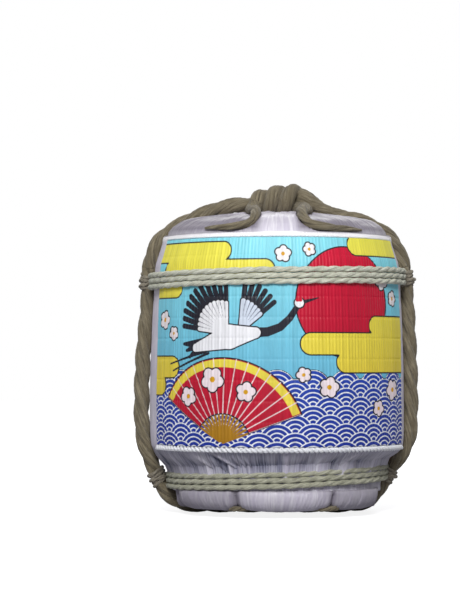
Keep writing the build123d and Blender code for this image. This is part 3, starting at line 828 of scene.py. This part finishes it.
def make_top():
    """The folded top: lobes of straw inside the hem, creased at the back and dented by the ropes.

    Its outline is (radius, height). The height drops in two folds at the back and a little over
    the whole front, but for the lobe that swells out under the hitch.
    """
    plug = top_high[0]
    inside_z = top_low[2]
    outline = smooth_line([
        (1.0, inside_z + 1.5), (40.0, inside_z + 0.8), (plug - 4, inside_z + 0.6), (plug - 0.4, inside_z + 3),
        (plug - 0.3, hem_z - 4.0), (plug - 0.6, hem_z - 0.5), (plug - 2.2, hem_z + 3.8),
        (plug - 5.4, hem_z + 7.8), (plug - 11, hem_z + 11.2), (plug - 21, hem_z + 13.6),
        (plug - 36, hem_z + 14.8), (plug - 58, hem_z + 15.3), (1.0, hem_z + 15.2),
    ], 1.5)
    ribs = 150
    from_front, angle, radius, z = turned(outline, ribs)
    on_top = ramp(z, hem_z - 2, hem_z + 3)
    back_fold = np.exp(-np.abs(np.abs(from_front) - back_crease) * radius / 4.2)
    shoulder = ramp(radius, plug, plug - 8) * np.clip(radius / 30, 0, 1)
    z = z - (back_crease_depth * shoulder + 1) * back_fold * on_top
    z = z + 1.3 * waves(from_front * 60 + radius * 0.3, 33, longest=38.0) * on_top * shoulder
    half_width = 10.5 + 0.08 * np.clip(radius - 40, 0, 40)
    front_lobe = bell(radius * np.sin(from_front) - 1.0, half_width, 8) * (np.abs(from_front) < 1)
    swell = lobe_rise * front_lobe - front_drop * np.clip(1.5 * np.cos(from_front), 0, 1) - 0.2
    z = z + swell * on_top * ramp(radius, 25, 50) * ramp(radius, plug, plug - 6)
    slant = from_front * ribs / (2 * pi) + 0.03 * radius
    relief = 0.34 * (np.abs(np.sin(pi * slant)) ** 0.7 - 0.6) + 0.5 * waves(slant * 2.9, 37, longest=11.0)
    relief = relief * np.clip(radius / 45, 0, 1)
    z = z + relief * on_top
    radius = radius + relief * (1 - on_top)
    hem_inside = pressed(mat_radius(hem_z) + 0 * angle, angle, hem_z + 0 * angle) - mat_thickness - 0.9
    radius = np.where(z < hem_z + 6, np.minimum(radius, hem_inside), radius)
    points = ring(radius, angle, z)
    over_top = rope_z > 180
    dented = pressed_down(points, rope_line[over_top][::2], rope_sizes[over_top][::2])
    points[..., 2] = np.where(on_top > 0, dented[..., 2], points[..., 2])
    # Painted shade: blue-grey in the dents under the ropes, grey over the whole top, more on the outer straw
    # towards the front and less on the front lobe.
    dent = 0.10 * np.clip(z - points[..., 2], 0, 6)
    frontward = np.clip(0.6 + np.cos(from_front), 0, 1)
    shade = 0.12 + (1 - front_lobe) * on_top * (0.28 + 0.52 * frontward * ramp(radius, 30, 50))
    return capped("folded_top", points, {"painted_steel_shade": dent, "shade": shade})


top = make_top()

# %% [markdown]
# ## Laid rope
# A rope is strands laid round each other, and each strand is yarns twisted the other way. A strand's
# middle is a helix about the rope's route; its section is a circle with small ridges, one a yarn.
# Two directions carried along the route, one as near as can be to a fixed direction, give the helix
# its frame, so it doesn't twist by itself.


# %% Rope maker
def carried_frames(line):
    """Two directions square to the line, carried along it so that they turn with it but never twist."""
    tangent = unit(np.gradient(line, axis=0))
    start = np.array([0.0, 1.0, 0.3])
    first = np.zeros_like(line)
    for i, direction in enumerate(tangent):
        start = start - np.dot(start, direction) * direction
        start = start / np.linalg.norm(start)
        first[i] = start
    return first, np.cross(tangent, first)


def rope_points(line, radius, strands, lay, yarns, around, handed=-1, share=None):
    """Points of all strands of a rope, ring by ring, and their place on the strand for the fibres.

    The strand's middle is the line plus an offset that turns once in each lay length. The ring
    about it lies square to the strand, and its radius has one small ridge a yarn. The share is
    the strand's radius over the rope's: the greater it is, the shallower are the grooves.
    """
    reach = line_reach(line)
    first, second = carried_frames(line)
    radius = np.broadcast_to(radius, reach.shape)
    share = {2: 0.6, 3: 0.52}[strands] if share is None else share
    section = np.arange(around)[None, :] * 2 * pi / around
    rings, places = [], []
    for strand in range(strands):
        turn = handed * 2 * pi * reach / lay + 2 * pi * strand / strands
        outward = first * np.cos(turn)[:, None] + second * np.sin(turn)[:, None]
        middle = line + outward * (radius * (1 - share))[:, None]
        along = unit(np.gradient(middle, axis=0))
        side = np.cross(along, outward)
        twist_back = 2 * pi * reach[:, None] * handed * 0.45 / lay
        on_yarns = section + twist_back
        groove = (1 - np.abs(np.sin(on_yarns * yarns / 2))) ** 2
        ridge = 1 - 0.13 * groove + 0.02 * np.cos(section * 5 + reach[:, None])
        size = (radius * share)[:, None]
        across = np.cos(section)[..., None] * outward[:, None] + np.sin(section)[..., None] * side[:, None]
        rings.append(middle[:, None] + (size * ridge)[..., None] * across)
        places.append(np.stack([
            size * np.cos(on_yarns) + 20 * strand, size * np.sin(on_yarns), reach[:, None] + 0 * on_yarns,
        ], axis=-1))
    return np.stack(rings), np.stack(places)


# %% [markdown]
# All strands of a rope go into one mesh: a grid of quads for each strand and a flat cap at both its
# ends. The place of each point on its strand goes along as an attribute, so that the fibres of the
# material follow the lay.


# %% Rope pieces
def strands_to_piece(name, bundles):
    """One piece from bundles of strand rings, each strand closed with a flat end."""
    all_points, all_places, all_quads, caps = [], [], [], []
    first = 0
    for points, places in bundles:
        for strand_points, strand_places in zip(points, places):
            rows, around = strand_points.shape[:2]
            all_points.append(strand_points.reshape(-1, 3))
            all_places.append(strand_places.reshape(-1, 3))
            all_quads.append(grid_quads(rows, around, close_columns=True, first=first))
            caps.append((np.arange(around) + first)[::-1])
            caps.append(np.arange(around) + first + (rows - 1) * around)
            first += rows * around
    attributes = {"fibre": np.vstack(all_places)}
    return make_piece(name, np.vstack(all_points), np.vstack(all_quads), caps, attributes)


def make_cord(name, lines, radius, strands, lay, yarns=4, around=10, handed=-1, share=None):
    """One piece of cord along one or more lines."""
    return strands_to_piece(name, [
        rope_points(np.asarray(line, dtype=float), radius, strands, lay, yarns, around, handed, share)
        for line in lines
    ])


# %% [markdown]
# ## Carrying rope
# The rope is laid once, over its whole length, and then cut into the pieces that move apart: the
# sling stays on the cask, while the two halves of the bow and their ends lift off with the top. The
# strands of neighbouring pieces therefore meet exactly at the cuts.

# %% Carrying rope
rope_lay = 58.0
end_length = 84.0
rope_rings, rope_places = rope_points(
    rope_line, rope_sizes, strands=3, lay=rope_lay, yarns=9, around=30, share=strand_shares
)
is_sling = (rope_z < sling_high[2]) & (from_end > 150)
sling_from, sling_to = np.flatnonzero(is_sling)[[0, -1]]
ends_from = int(np.searchsorted(rope_reach, end_length))
ends_to = int(np.searchsorted(rope_reach, rope_reach[-1] - end_length))


def rope_part(*ranges):
    """The rings of the rope between pairs of indices."""
    return [(rope_rings[:, a:b + 1], rope_places[:, a:b + 1]) for a, b in ranges]


sling = strands_to_piece("carrying_sling", rope_part((sling_from, sling_to)))
bow_left = strands_to_piece("bow_rope_over_left", rope_part((ends_from, sling_from)))
bow_right = strands_to_piece("bow_rope_over_right", rope_part((sling_to, ends_to)))
rope_ends = strands_to_piece("rope_ends", rope_part((0, ends_from), (ends_to, len(rope_line) - 1)))

# %% [markdown]
# ## Bands
# Each band is one cord of two plies, wound three times round the mats as a flat helix. The upper one
# is pressed in by the side ropes, as the mat is. The lower one ties the neck and slants a little.


# %% Bands
def band_line(radius, middle_z, pitch, tilt, turns=3, step=1.0, pressed_in=False):
    """A helix that starts at the back, tilted a little, and drawn in at the ropes where it is asked for."""
    t = np.linspace(0, turns, int(2 * pi * radius * turns / step))
    angle = pi / 2 + 2 * pi * t
    z = middle_z + (t - turns / 2) * pitch + 0.3 * waves(t * 500, 42, longest=85.0)
    r = radius + 0.2 * waves(t * 500, 41, longest=60.0)
    if pressed_in:
        for side in (-1, 1):
            edge = route_x(z, side) - rope_radius * 0.9 - band_cord - press_clearance
            near = bell(r * np.sin(angle) - rope_y, 8.0)
            r = r - np.maximum(r * np.cos(angle) * side - edge, 0) * near
    return ring(r, angle, z + tilt * np.cos(angle))


two_plies = {"strands": 2, "lay": 19.0, "yarns": 3, "around": 14, "share": 0.74}
upper_pitch, upper_tilt, upper_cord = 3.8, 0.9, 1.97
lower_pitch, lower_cord = 3.7, 1.93
upper_line = band_line(upper_band_radius, upper_band_z, upper_pitch, upper_tilt, pressed_in=True)
lower_line = band_line(lower_band_radius, lower_line_z, lower_pitch, lower_tilt)
upper_band = make_cord("upper_band_cord", [upper_line], upper_cord, **two_plies)
lower_band = make_cord("lower_band_cord", [lower_line], lower_cord, **two_plies)


# %% [markdown]
# ## Knots
# Where a band meets the carrying rope, a thinner cord lashes the two together. It is made as it is
# tied: a winding round the rope that leans one way, and a shorter one over it that leans the other.


# %% Knots
def knot_line(middle, axis, reach, turns, climb, lean, start):
    """A winding about an axis whose turns lean across it, with a little unevenness."""
    axis = unit(np.asarray(axis, dtype=float))
    depth = np.array([0.0, 1.0, 0.0])
    across = np.cross(depth, axis)
    t = np.linspace(0, turns, int(2 * pi * reach * turns / 0.8))
    angle = start + 2 * pi * t
    r = reach + 0.2 * np.sin(2.3 * angle) + 0.15 * np.sin(5.1 * angle + 1)
    up = (t / turns - 0.5) * climb + lean * np.cos(angle)
    return (
        np.asarray(middle)
        + across * (r * np.cos(angle))[:, None]
        + depth * (r * np.sin(angle))[:, None]
        + axis * up[:, None]
    )


def make_knot(name, middle, axis, reach, climb, turns, cord, lean):
    """A lashing: one winding that leans one way, and a second, shorter one that crosses it."""
    lines = [
        knot_line(middle, axis, reach, turns, climb, lean, start=0.4),
        knot_line(middle, axis, reach + 0.8 * cord, 1.3, climb * 0.5, -lean * 1.6, start=2.0),
    ]
    return make_cord(name, lines, cord, strands=2, lay=11.0, yarns=3, around=12, share=0.72)


# Each knot: name, middle, axis, reach, climb, turns, radius of its cord and lean.
knot_places = {
    "upper_knot_left": (
        "upper_lashing_left", (-86.6, rope_y, upper_band_z - 2.0), (0.05, 0, 1), 5.0, 10.5, 4.5, 1.35, -0.6
    ),
    "upper_knot_right": (
        "upper_lashing_right", (86.4, rope_y, upper_band_z + 0.5), (-0.08, 0, 1), 5.0, 10.5, 4.5, 1.35, 0.6
    ),
    "lower_knot_left": (
        "lower_lashing_left", (-80.1, rope_y, 24.0), (-0.42, 0, 1), 5.0, 9.5, 4.0, 1.3, 0.9
    ),
    "lower_knot_right": (
        "lower_lashing_right", (73.9, rope_y, 26.2), (0.56, 0, 1), 5.0, 9.5, 4.0, 1.3, -0.9
    ),
}
knots = {solid: make_knot(*place) for solid, place in knot_places.items()}


# %% [markdown]
# ## Lashings
# Doubled cords lie in the two creases at the back of the top. In the creases of the foot only a short
# lump of each cord comes out under the straw. At the back a short winding hides the bands' ends.


# %% Lashings
cord_step = 0.9
top_leg = ((14.0, 202.2), (26.0, 200.2), (40.0, 197.6), (54.0, 195.0), (64.0, 191.8), (71.0, 188.6))


def cord_in_crease(from_front, shift):
    """A cord that follows points (radius, height) at one angle from the front, shifted to one side."""
    direction = np.array([np.cos(from_front - pi / 2), np.sin(from_front - pi / 2)])
    sideways = np.array([-direction[1], direction[0]]) * shift
    return smooth_line([(*(direction * r + sideways), z) for r, z in top_leg], cord_step)


back_lashing = make_cord(
    "back_lashing",
    [cord_in_crease(a, shift) for a in (back_crease, -back_crease) for shift in (-1.9, 1.9)],
    radius=1.7, strands=2, lay=9.0,
)


def cord_under_foot(angle_deg, half_width):
    """A cord that comes out under the foot's edge, lies along it for a while and goes back under."""
    turn = radians(angle_deg - 90) + half_width * np.array([-1.5, -1.0, -0.4, 0.3, 0.9, 1.4]) / 68
    reach = np.array([57.0, 65.5, 68.6, 68.8, 66.0, 58.0])
    height = np.array([9.0, 6.6, 6.3, 6.5, 6.9, 9.0])
    return smooth_line(ring(reach, turn, height), cord_step)


foot_lashing = make_cord(
    "foot_lashing",
    [cord_under_foot(a, width) for a, width in ((-22.3, 7.0), (30.0, 9.0), (157.0, 7.0), (-156.0, 8.0))],
    radius=1.9, strands=3, lay=14.0,
)


def band_tie(middle_z, radius, reach):
    """A short winding round the band at the back, under which the ends of its cord are tucked."""
    turns = 4.5
    t = np.linspace(0, 1, 170)
    angle = pi / 2 + 2 * pi * turns * t
    x = (t - 0.5) * 9.0 + 0.8 * np.cos(angle)
    return np.stack([x, radius + 3.1 * np.cos(angle), middle_z + reach * np.sin(angle)], axis=1)


band_ties = make_cord(
    "band_ties",
    [
        band_tie(upper_band_z, upper_band_radius + 0.4, 8.0),
        band_tie(lower_line_z, lower_band_radius + 0.2, 8.0),
    ],
    radius=1.1, strands=2, lay=6.0,
)

# %% [markdown]
# ## Twined edge
# The lower edge of the printed mat is finished with a twined thread that shows as a row of small
# slanting stitches, and a thinner one runs along its upper edge.


# %% Twined edges
def edge_line(z, outward):
    """A line along the printed mat at one height, some way out from the body mat."""
    from_front = np.linspace(print_left, print_right, int((print_right - print_left) * belly / 0.5))
    angle = from_front - pi / 2
    level = np.full(len(angle), z)
    return ring(pressed(mat_radius(level) + outward, angle, level), angle, level)


lower_edge = make_cord(
    "twined_lower_edge", [edge_line(print_low[2] - 1.7, outward=1.6)],
    radius=1.9, strands=2, lay=6.6, around=10, handed=1, share=0.55,
)
upper_edge = make_cord(
    "twined_upper_edge", [edge_line(print_top + 0.5, outward=0.5)],
    radius=0.6, strands=2, lay=4.6, around=8,
)

# %% [markdown]
# ## Finish: woven polypropylene straw
# White mats are woven from extruded and split polypropylene. That gives a milky white with a soft
# satin shine along each straw, small differences from straw to straw, and grey-violet in the gaps.
# Where the mat is drawn in and folded, a cold blue-grey is painted on as its shade and a dark
# reflection; a grey-violet shade is painted where the top, the foot and the top of the hem lie in
# shadow; and the hem is a cleaner white. The attributes of the pieces say where.


# %% White straw
def straw_pattern(tree):
    """Straw-to-straw differences and fine streaks that run up the straws, and the height.

    The angle round the axis counts the straws: its whole part gives each straw a random shade.
    The streaks are noise that is stretched about thirteen times along the straw.
    """
    place = node(tree, "TexCoord", out="Object")
    parts = node(tree, "SeparateXYZ", {0: place}).node.outputs
    backwards = node(tree, "Math", {0: parts["Y"], 1: -1.0}, operation="MULTIPLY")
    angle = node(tree, "Math", {0: parts["X"], 1: backwards}, operation="ARCTAN2")
    rib = node(tree, "Math", {0: angle, 1: rib_count / (2 * pi)}, operation="MULTIPLY")
    number = node(tree, "Math", {0: rib}, operation="FLOOR")
    straw = node(tree, "TexWhiteNoise", {"W": number}, noise_dimensions="1D", out="Value")
    flow = node(tree, "CombineXYZ", {0: rib, 1: 0.0, 2: parts["Z"]})
    stretched = node(tree, "Mapping", {"Vector": flow, "Scale": (2.2, 1.0, 70.0)})
    streaks = node(tree, "TexNoise", {"Vector": stretched, "Scale": 1.0, "Detail": 3.0, "Roughness": 0.6})
    return straw, streaks, parts["Z"]


def make_white_straw():
    """Woven polypropylene straw, satin white, with shade and a blue-grey reflection painted on."""
    material, tree, output = new_material("woven_white_polypropylene_straw")
    straw, streaks, _ = straw_pattern(tree)
    white, lilac, grey = colour("#e9e6ee"), colour("#cdc7d8"), colour("#c6c0d0")
    dark_steel_shade, light_steel_shade = colour("#353a50"), colour("#85879d")
    painted_shade_grey, clean_white = colour("#76707c"), colour("#fbf9fc")
    base = node(tree, "Mix", {0: straw, 6: white, 7: lilac}, data_type="RGBA", out=2)
    light = node(tree, "MapRange", {"Value": streaks, "From Min": 0.3, "From Max": 0.6})
    base = node(tree, "Mix", {0: light, 6: grey, 7: base}, data_type="RGBA", out=2)
    # Painted shade and dark reflection: cold blue-greys, mixed in as far as this attribute says.
    drawn = node(tree, "Attribute", attribute_name="painted_steel_shade", out="Fac")
    sharp = node(tree, "MapRange", {"Value": streaks, "From Min": 0.38, "From Max": 0.62})
    steel_shade = node(tree, "Mix", {0: sharp, 6: dark_steel_shade, 7: light_steel_shade}, data_type="RGBA", out=2)
    base = node(tree, "Mix", {0: drawn, 6: base, 7: steel_shade}, data_type="RGBA", out=2)
    # Painted shade: a grey-violet is mixed in as far as the shade attribute says.
    shade = node(tree, "Attribute", attribute_name="shade", out="Fac")
    base = node(tree, "Mix", {0: shade, 6: base, 7: painted_shade_grey}, data_type="RGBA", out=2)
    hem = node(tree, "Attribute", attribute_name="hem", out="Fac")
    base = node(tree, "Mix", {0: hem, 6: base, 7: clean_white}, data_type="RGBA", out=2)
    bump = node(tree, "Bump", {"Height": streaks, "Strength": 0.5, "Distance": 0.0005})
    shader = node(
        tree, "BsdfPrincipled",
        {"Base Color": base, "Roughness": 0.42, "Normal": bump, "Specular IOR Level": 0.3},
    )
    tree.links.new(shader, output.inputs[0])
    return material


# %% [markdown]
# ## Finish: printed straw
# The picture is screen-printed on the same straw, so each ink is flat but the ribs, the gaps between
# straws and the streaks of the straw still show through it.

# %% Printed straw
# Each ink: the motif, its colour at the top and at the foot of the mat, and whether it has an outline.
inks = (
    ("sun", "#d3163a", "#a30d2a", True),
    ("sea", "#2a5bd0", "#1c3396", True),
    ("rings", "#f2f4f8", "#f2f4f8", False),
    ("mist", "#f5ee5a", "#e3c33c", True),
    ("sticks", "#c9962a", "#a87818", False),
    ("fan", "#d8183c", "#b5122f", True),
    ("fan_rim", "#f5ee5a", "#e8cf48", False),
    ("pleats", "#f4dfe2", "#f4dfe2", False),
    ("blossoms", "#f6f4f6", "#f3dfe6", True),
    ("hearts", "#d9a21b", "#d9a21b", False),
    ("crane_far_tips", "#141420", "#1d1d2c", False),
    ("crane_far_wing", "#dfe6f2", "#c4d2e6", True),
    ("crane_far_lines", "#4a5068", "#4a5068", False),
    ("crane_dark", "#141420", "#1d1d2c", False),
    ("crane_tips", "#141420", "#1d1d2c", False),
    ("crane_white", "#f6f5f8", "#eef0f6", True),
    ("crane_lines", "#3a3f55", "#3a3f55", False),
    ("crown", "#c81330", "#c81330", False),
)
outline_width = 0.45
ink_edge = 0.16


def make_printed_straw():
    """Screen-printed polypropylene straw: flat inks with outlines, over ribs and streaks."""
    material, tree, output = new_material("screen_printed_polypropylene_straw")
    straw, streaks, z = straw_pattern(tree)
    low_sky, high_sky, outline_ink = colour("#58a6cf"), colour("#8fe4f2"), colour("#15141f")
    height = node(
        tree, "MapRange", {"Value": z, "From Min": print_low[2] * mm, "From Max": print_high[2] * mm}
    )
    base = node(tree, "Mix", {0: height, 6: low_sky, 7: high_sky}, data_type="RGBA", out=2)
    for name, upper, lower, outlined in inks:
        distance = node(tree, "Attribute", attribute_name=name, out="Fac")
        shade = node(tree, "Mix", {0: height, 6: colour(lower), 7: colour(upper)}, data_type="RGBA", out=2)
        films = [(outline_width, outline_ink), (-outline_width, shade)] if outlined else [(0.0, shade)]
        for limit, ink in films:
            inked = node(
                tree, "MapRange",
                {"Value": distance, "From Min": limit + ink_edge, "From Max": limit - ink_edge},
            )
            base = node(tree, "Mix", {0: inked, 6: base, 7: ink}, data_type="RGBA", out=2)
    uneven = node(tree, "Math", {0: straw, 1: 0.14, 2: 0.86}, operation="MULTIPLY_ADD")
    streaky = node(tree, "Math", {0: streaks, 1: 0.3, 2: 0.82}, operation="MULTIPLY_ADD")
    level = node(tree, "Math", {0: uneven, 1: streaky}, operation="MULTIPLY")
    base = node(tree, "HueSaturation", {"Color": base, "Value": level})
    bump = node(tree, "Bump", {"Height": streaks, "Strength": 0.35, "Distance": 0.0004})
    shader = node(
        tree, "BsdfPrincipled",
        {"Base Color": base, "Roughness": 0.42, "Normal": bump, "Specular IOR Level": 0.25},
    )
    tree.links.new(shader, output.inputs[0])
    return material


# %% [markdown]
# ## Finish: jute
# The thick rope is jute that has been dyed and has greyed: dull olive brown, with paler fibres among
# darker ones. The thinner cords are the same fibre, paler and greener, and the thread at the edge of
# the print is nearly white. A dull, rough surface with a little sheen gives the eye a hairy fibre.


# %% Jute
def make_jute(name, light, dark, patch, yarn_size):
    """Laid jute: light and dark fibres along each strand, with broad patches of a third colour.

    Single fibres are finer than the picture can show, so two noises are used: fine ones for a
    near view, and streaks of about a yarn's width that also show from afar.
    """
    material, tree, output = new_material(name)
    fibre = node(tree, "Attribute", attribute_name="fibre", out="Vector")
    stretched = node(tree, "Mapping", {"Vector": fibre, "Scale": (1.0, 1.0, 0.1)})
    fine = node(
        tree, "TexNoise", {"Vector": stretched, "Scale": 3.4 / yarn_size, "Detail": 3.0, "Roughness": 0.7}
    )
    coarse = node(
        tree, "TexNoise", {"Vector": stretched, "Scale": 0.9 / yarn_size, "Detail": 2.0, "Roughness": 0.5}
    )
    broad = node(tree, "TexNoise", {"Vector": fibre, "Scale": 0.13, "Detail": 2.0})
    mixed = node(tree, "Math", {0: fine, 1: coarse}, operation="ADD")
    share = node(tree, "MapRange", {"Value": mixed, "From Min": 0.72, "From Max": 1.28})
    base = node(tree, "Mix", {0: share, 6: colour(dark), 7: colour(light)}, data_type="RGBA", out=2)
    mottle = node(tree, "MapRange", {"Value": broad, "From Min": 0.4, "From Max": 0.65, "To Max": 0.6})
    base = node(tree, "Mix", {0: mottle, 6: base, 7: colour(patch)}, data_type="RGBA", out=2)
    bump = node(tree, "Bump", {"Height": mixed, "Strength": 0.9, "Distance": 0.0006})
    shader = node(tree, "BsdfPrincipled", {
        "Base Color": base, "Roughness": 0.75, "Normal": bump, "Specular IOR Level": 0.25,
        "Sheen Weight": 0.15,
    })
    tree.links.new(shader, output.inputs[0])
    return material


# %% [markdown]
# ## Finish: cedar and bamboo
# The staves and boards inside are planed Japanese cedar, with straight reddish grain. Hoops and
# dowels are split bamboo, pale yellow and a little glossy. Each is noise that is stretched along the
# grain: nine times it, less its whole number, makes the growth rings, and a finer noise the fibres.


# %% Wood
def make_wood(name, light, dark, scale, roughness):
    """Straight-grained wood: bands stretched along one direction, bent a little by noise."""
    material, tree, output = new_material(name)
    place = node(tree, "TexCoord", out="Object")
    drawn = node(tree, "Mapping", {"Vector": place, "Scale": scale})
    warp = node(tree, "TexNoise", {"Vector": drawn, "Scale": 1.0, "Detail": 3.0})
    fine = node(tree, "TexNoise", {"Vector": drawn, "Scale": 5.0, "Detail": 4.0, "Roughness": 0.7})
    rings = node(tree, "Math", {0: warp, 1: 9.0}, operation="MULTIPLY")
    rings = node(tree, "Math", {0: rings}, operation="FRACT")
    share = node(tree, "Math", {0: rings, 1: fine}, operation="MULTIPLY")
    base = node(tree, "Mix", {0: share, 6: colour(light), 7: colour(dark)}, data_type="RGBA", out=2)
    bump = node(tree, "Bump", {"Height": fine, "Strength": 0.3, "Distance": 0.0003})
    shader = node(tree, "BsdfPrincipled", {"Base Color": base, "Roughness": roughness, "Normal": bump})
    tree.links.new(shader, output.inputs[0])
    return material


# %% [markdown]
# ## The finishes of this cask
# Each jute has three colours: its light and dark fibres and the broad patches among them. The last
# number is the width of a yarn in millimetres, to which the fibres are scaled. The cord of the lower
# band has darker colours than the upper one's: they are painted shade, for the shadow under the belly.

# %% Finishes
white_straw = make_white_straw()
printed_straw = make_printed_straw()
thick_jute = make_jute("olive_jute_rope", "#968c74", "#4d4537", "#675e4a", 1.2)
band_jute = make_jute("pale_jute_cord", "#f0f2e2", "#a5a593", "#c6c8b4", 0.9)
# Painted shade: a darker copy of the band's jute, for the lower band.
shaded_band_jute = make_jute("painted_shade_jute_cord", "#cfcfba", "#83826f", "#a2a28d", 0.9)
knot_jute = make_jute("dark_jute_cord", "#aaa291", "#5f584c", "#80786a", 0.8)
edge_thread = make_jute("white_twined_thread", "#ffffff", "#e6eaf6", "#fbfcff", 0.6)

# %% [markdown]
# ## Dressing the pieces
# Each new piece gets its finish and the body that it moves with. Most also name the solid of the
# frame that they stand for, which is then hidden.

# %% Dress the new pieces
dress(body_mat, white_straw, "cask", "body_mat", slot="white_straw")
dress(printed_mat, printed_straw, "cask", "printed_mat", slot="printed_straw")
dress(foot, white_straw, "cask", "bottom_mat", slot="white_straw")
dress(top, white_straw, "wrap_top", "top_mat", slot="white_straw")
dress(sling, thick_jute, "cask", "sling_rope", slot="thick_rope")
dress(bow_left, thick_jute, "wrap_top", "bow_rope_left", slot="thick_rope")
dress(bow_right, thick_jute, "wrap_top", "bow_rope_right", slot="thick_rope")
dress(upper_band, band_jute, "cask", "upper_band", slot="band_cord")
dress(lower_band, shaded_band_jute, "cask", "lower_band", slot="band_cord")
for replaced, knot in knots.items():
    dress(knot, knot_jute, "cask", replaced, slot="lashing_cord")
dress(rope_ends, thick_jute, "wrap_top", "top_lashing", slot="lashing_cord")
dress(back_lashing, knot_jute, "wrap_top", slot="lashing_cord")
dress(foot_lashing, thick_jute, "cask", "base_lashing", slot="lashing_cord")
dress(band_ties, knot_jute, "cask", slot="lashing_cord")
dress(lower_edge, edge_thread, "cask", slot="white_straw")
dress(upper_edge, edge_thread, "cask", slot="white_straw")

# %% [markdown]
# ## Wood on the solids
# The wooden solids of the frame have the right shape, so they stay and only get their wood. The three
# numbers say how fast the grain changes along x, y and z, so it runs up the staves, from front to
# back on the boards and level round the bamboo hoops.

# %% Wood on the solids
stave_cedar = make_wood("planed_cedar_staves", "#d9a877", "#a86b42", (220.0, 220.0, 9.0), 0.6)
board_cedar = make_wood("planed_cedar_boards", "#dcb081", "#ab7147", (220.0, 9.0, 220.0), 0.6)
bamboo = make_wood("split_bamboo", "#d8c58c", "#b59a58", (60.0, 60.0, 400.0), 0.4)
for name, cad_node in nodes.items():
    if name.startswith("stave"):
        finish = stave_cedar
    elif "board" in name or name == "bung":
        finish = board_cedar
    elif "dowels" in name or name.startswith("hoop"):
        finish = bamboo
    else:
        continue
    for material_slot in cad_node.material_slots:
        material_slot.material = finish

# %% [markdown]
# ## Soft pieces
# The two mats are sheets. The folded foot and top are bundles of straw, nearly as full as they can
# be. The cell below only prints the names of these pieces.

# %% Sheets and padded pieces
print("sheets:", body_mat.name, printed_mat.name, "padded:", foot.name, top.name)

# %% [markdown]
# ## Floor
# The cask stands on a sweep of white paper. It glows only for the camera, a little less near the
# cask, so that it looks white and the shadow of the cask stays.


# %% Floor
def make_floor():
    """A large pale floor that the camera sees as near white, and that keeps the shadow."""
    size = 4.0
    mesh = bpy.data.meshes.new("floor")
    corners = [(-size, -size, 0), (size, -size, 0), (size, size, 0), (-size, size, 0)]
    mesh.from_pydata(corners, [], [(0, 1, 2, 3)])
    floor = bpy.data.objects.new("floor", mesh)
    bpy.context.scene.collection.objects.link(floor)
    material, tree, output = new_material("white_paper_sweep")
    paper = node(tree, "BsdfDiffuse", {"Color": colour("#b8b8bd")})
    seen = node(tree, "LightPath", out="Is Camera Ray")
    place = node(tree, "TexCoord", out="Object")
    away = node(tree, "VectorMath", {0: place}, operation="LENGTH", out="Value")
    level = node(
        tree, "MapRange", {"Value": away, "From Min": 0.2, "From Max": 1.0, "To Min": 0.86, "To Max": 1.0}
    )
    strength = node(tree, "Math", {0: seen, 1: level}, operation="MULTIPLY")
    glow = node(tree, "Emission", {"Color": (1, 1, 1, 1), "Strength": strength})
    both = node(tree, "AddShader", {0: paper, 1: glow})
    tree.links.new(both, output.inputs[0])
    mesh.materials.append(material)


make_floor()

# %% [markdown]
# ## World
# The world is white to the camera and in reflections, but gives the object only a little light, so
# most of the shading comes from the lamps.


# %% World
def make_world(light_level):
    """A white background for the camera and for reflections, and a dimmer grey light from it."""
    world = bpy.data.worlds.new("studio")
    world.use_nodes = True
    tree = world.node_tree
    tree.nodes.clear()
    output = tree.nodes.new("ShaderNodeOutputWorld")
    path = node(tree, "LightPath").node.outputs
    seen = node(tree, "Math", {0: path["Is Camera Ray"], 1: path["Is Glossy Ray"]}, operation="MAXIMUM")
    seen = node(tree, "Math", {0: seen, 1: path["Is Transmission Ray"]}, operation="MAXIMUM")
    strength = node(tree, "MapRange", {"Value": seen, "To Min": light_level, "To Max": 1.0})
    back = node(tree, "Background", {"Color": (1, 1, 1, 1), "Strength": strength})
    tree.links.new(back, output.inputs[0])
    bpy.context.scene.world = world
    print("world light", light_level)


make_world(0.08)

# %% [markdown]
# ## Lamps and camera
# Large soft lamps stand in front, above and behind, the strongest in front, so the round body is
# bright in the middle and falls off to both sides. The camera is a long lens 1.5 m away, at half the
# cask's height, turned a little so that the cask stands to the right of the middle.


# %% Lamps
def aim(thing, place, target):
    """Put a lamp or camera at a place, looking at a target."""
    direction = Vector(target) - Vector(place)
    thing.location = place
    thing.rotation_euler = direction.to_track_quat("-Z", "Y").to_euler()


def add_lamp(name, place, target, size, power):
    """A soft rectangular lamp at a place, turned to a target."""
    light = bpy.data.lights.new(name, "AREA")
    light.shape = "RECTANGLE"
    light.size, light.size_y = size
    light.energy = power
    lamp = bpy.data.objects.new(name, light)
    aim(lamp, place, target)
    bpy.context.scene.collection.objects.link(lamp)
    print(name, power, "W")


middle = (0.0, 0.0, 0.11)
add_lamp("key_lamp", (-0.08, -1.5, 0.95), middle, (0.6, 0.5), 25.0)
add_lamp("top_lamp", (0.0, -0.3, 1.3), middle, (0.9, 0.9), 3.0)
add_lamp("back_lamp", (0.1, 1.6, 1.0), middle, (1.0, 1.0), 8.0)

# %% Camera
camera_distance = 1.5
camera_height = 0.103
view_height_mm = 408.0
view_target = (-0.032, 0.0, 0.144)
sensor_mm = 36.0
camera_data = bpy.data.cameras.new("camera")
camera_data.sensor_fit = "AUTO"
camera_data.sensor_width = sensor_mm
camera_data.lens = camera_distance / mm * sensor_mm / view_height_mm
camera = bpy.data.objects.new("camera", camera_data)
aim(camera, (0.0, -camera_distance, camera_height), view_target)
bpy.context.scene.collection.objects.link(camera)
bpy.context.scene.camera = camera
bpy.context.scene.view_settings.view_transform = "Standard"
print("lens", round(camera_data.lens, 1), "mm")
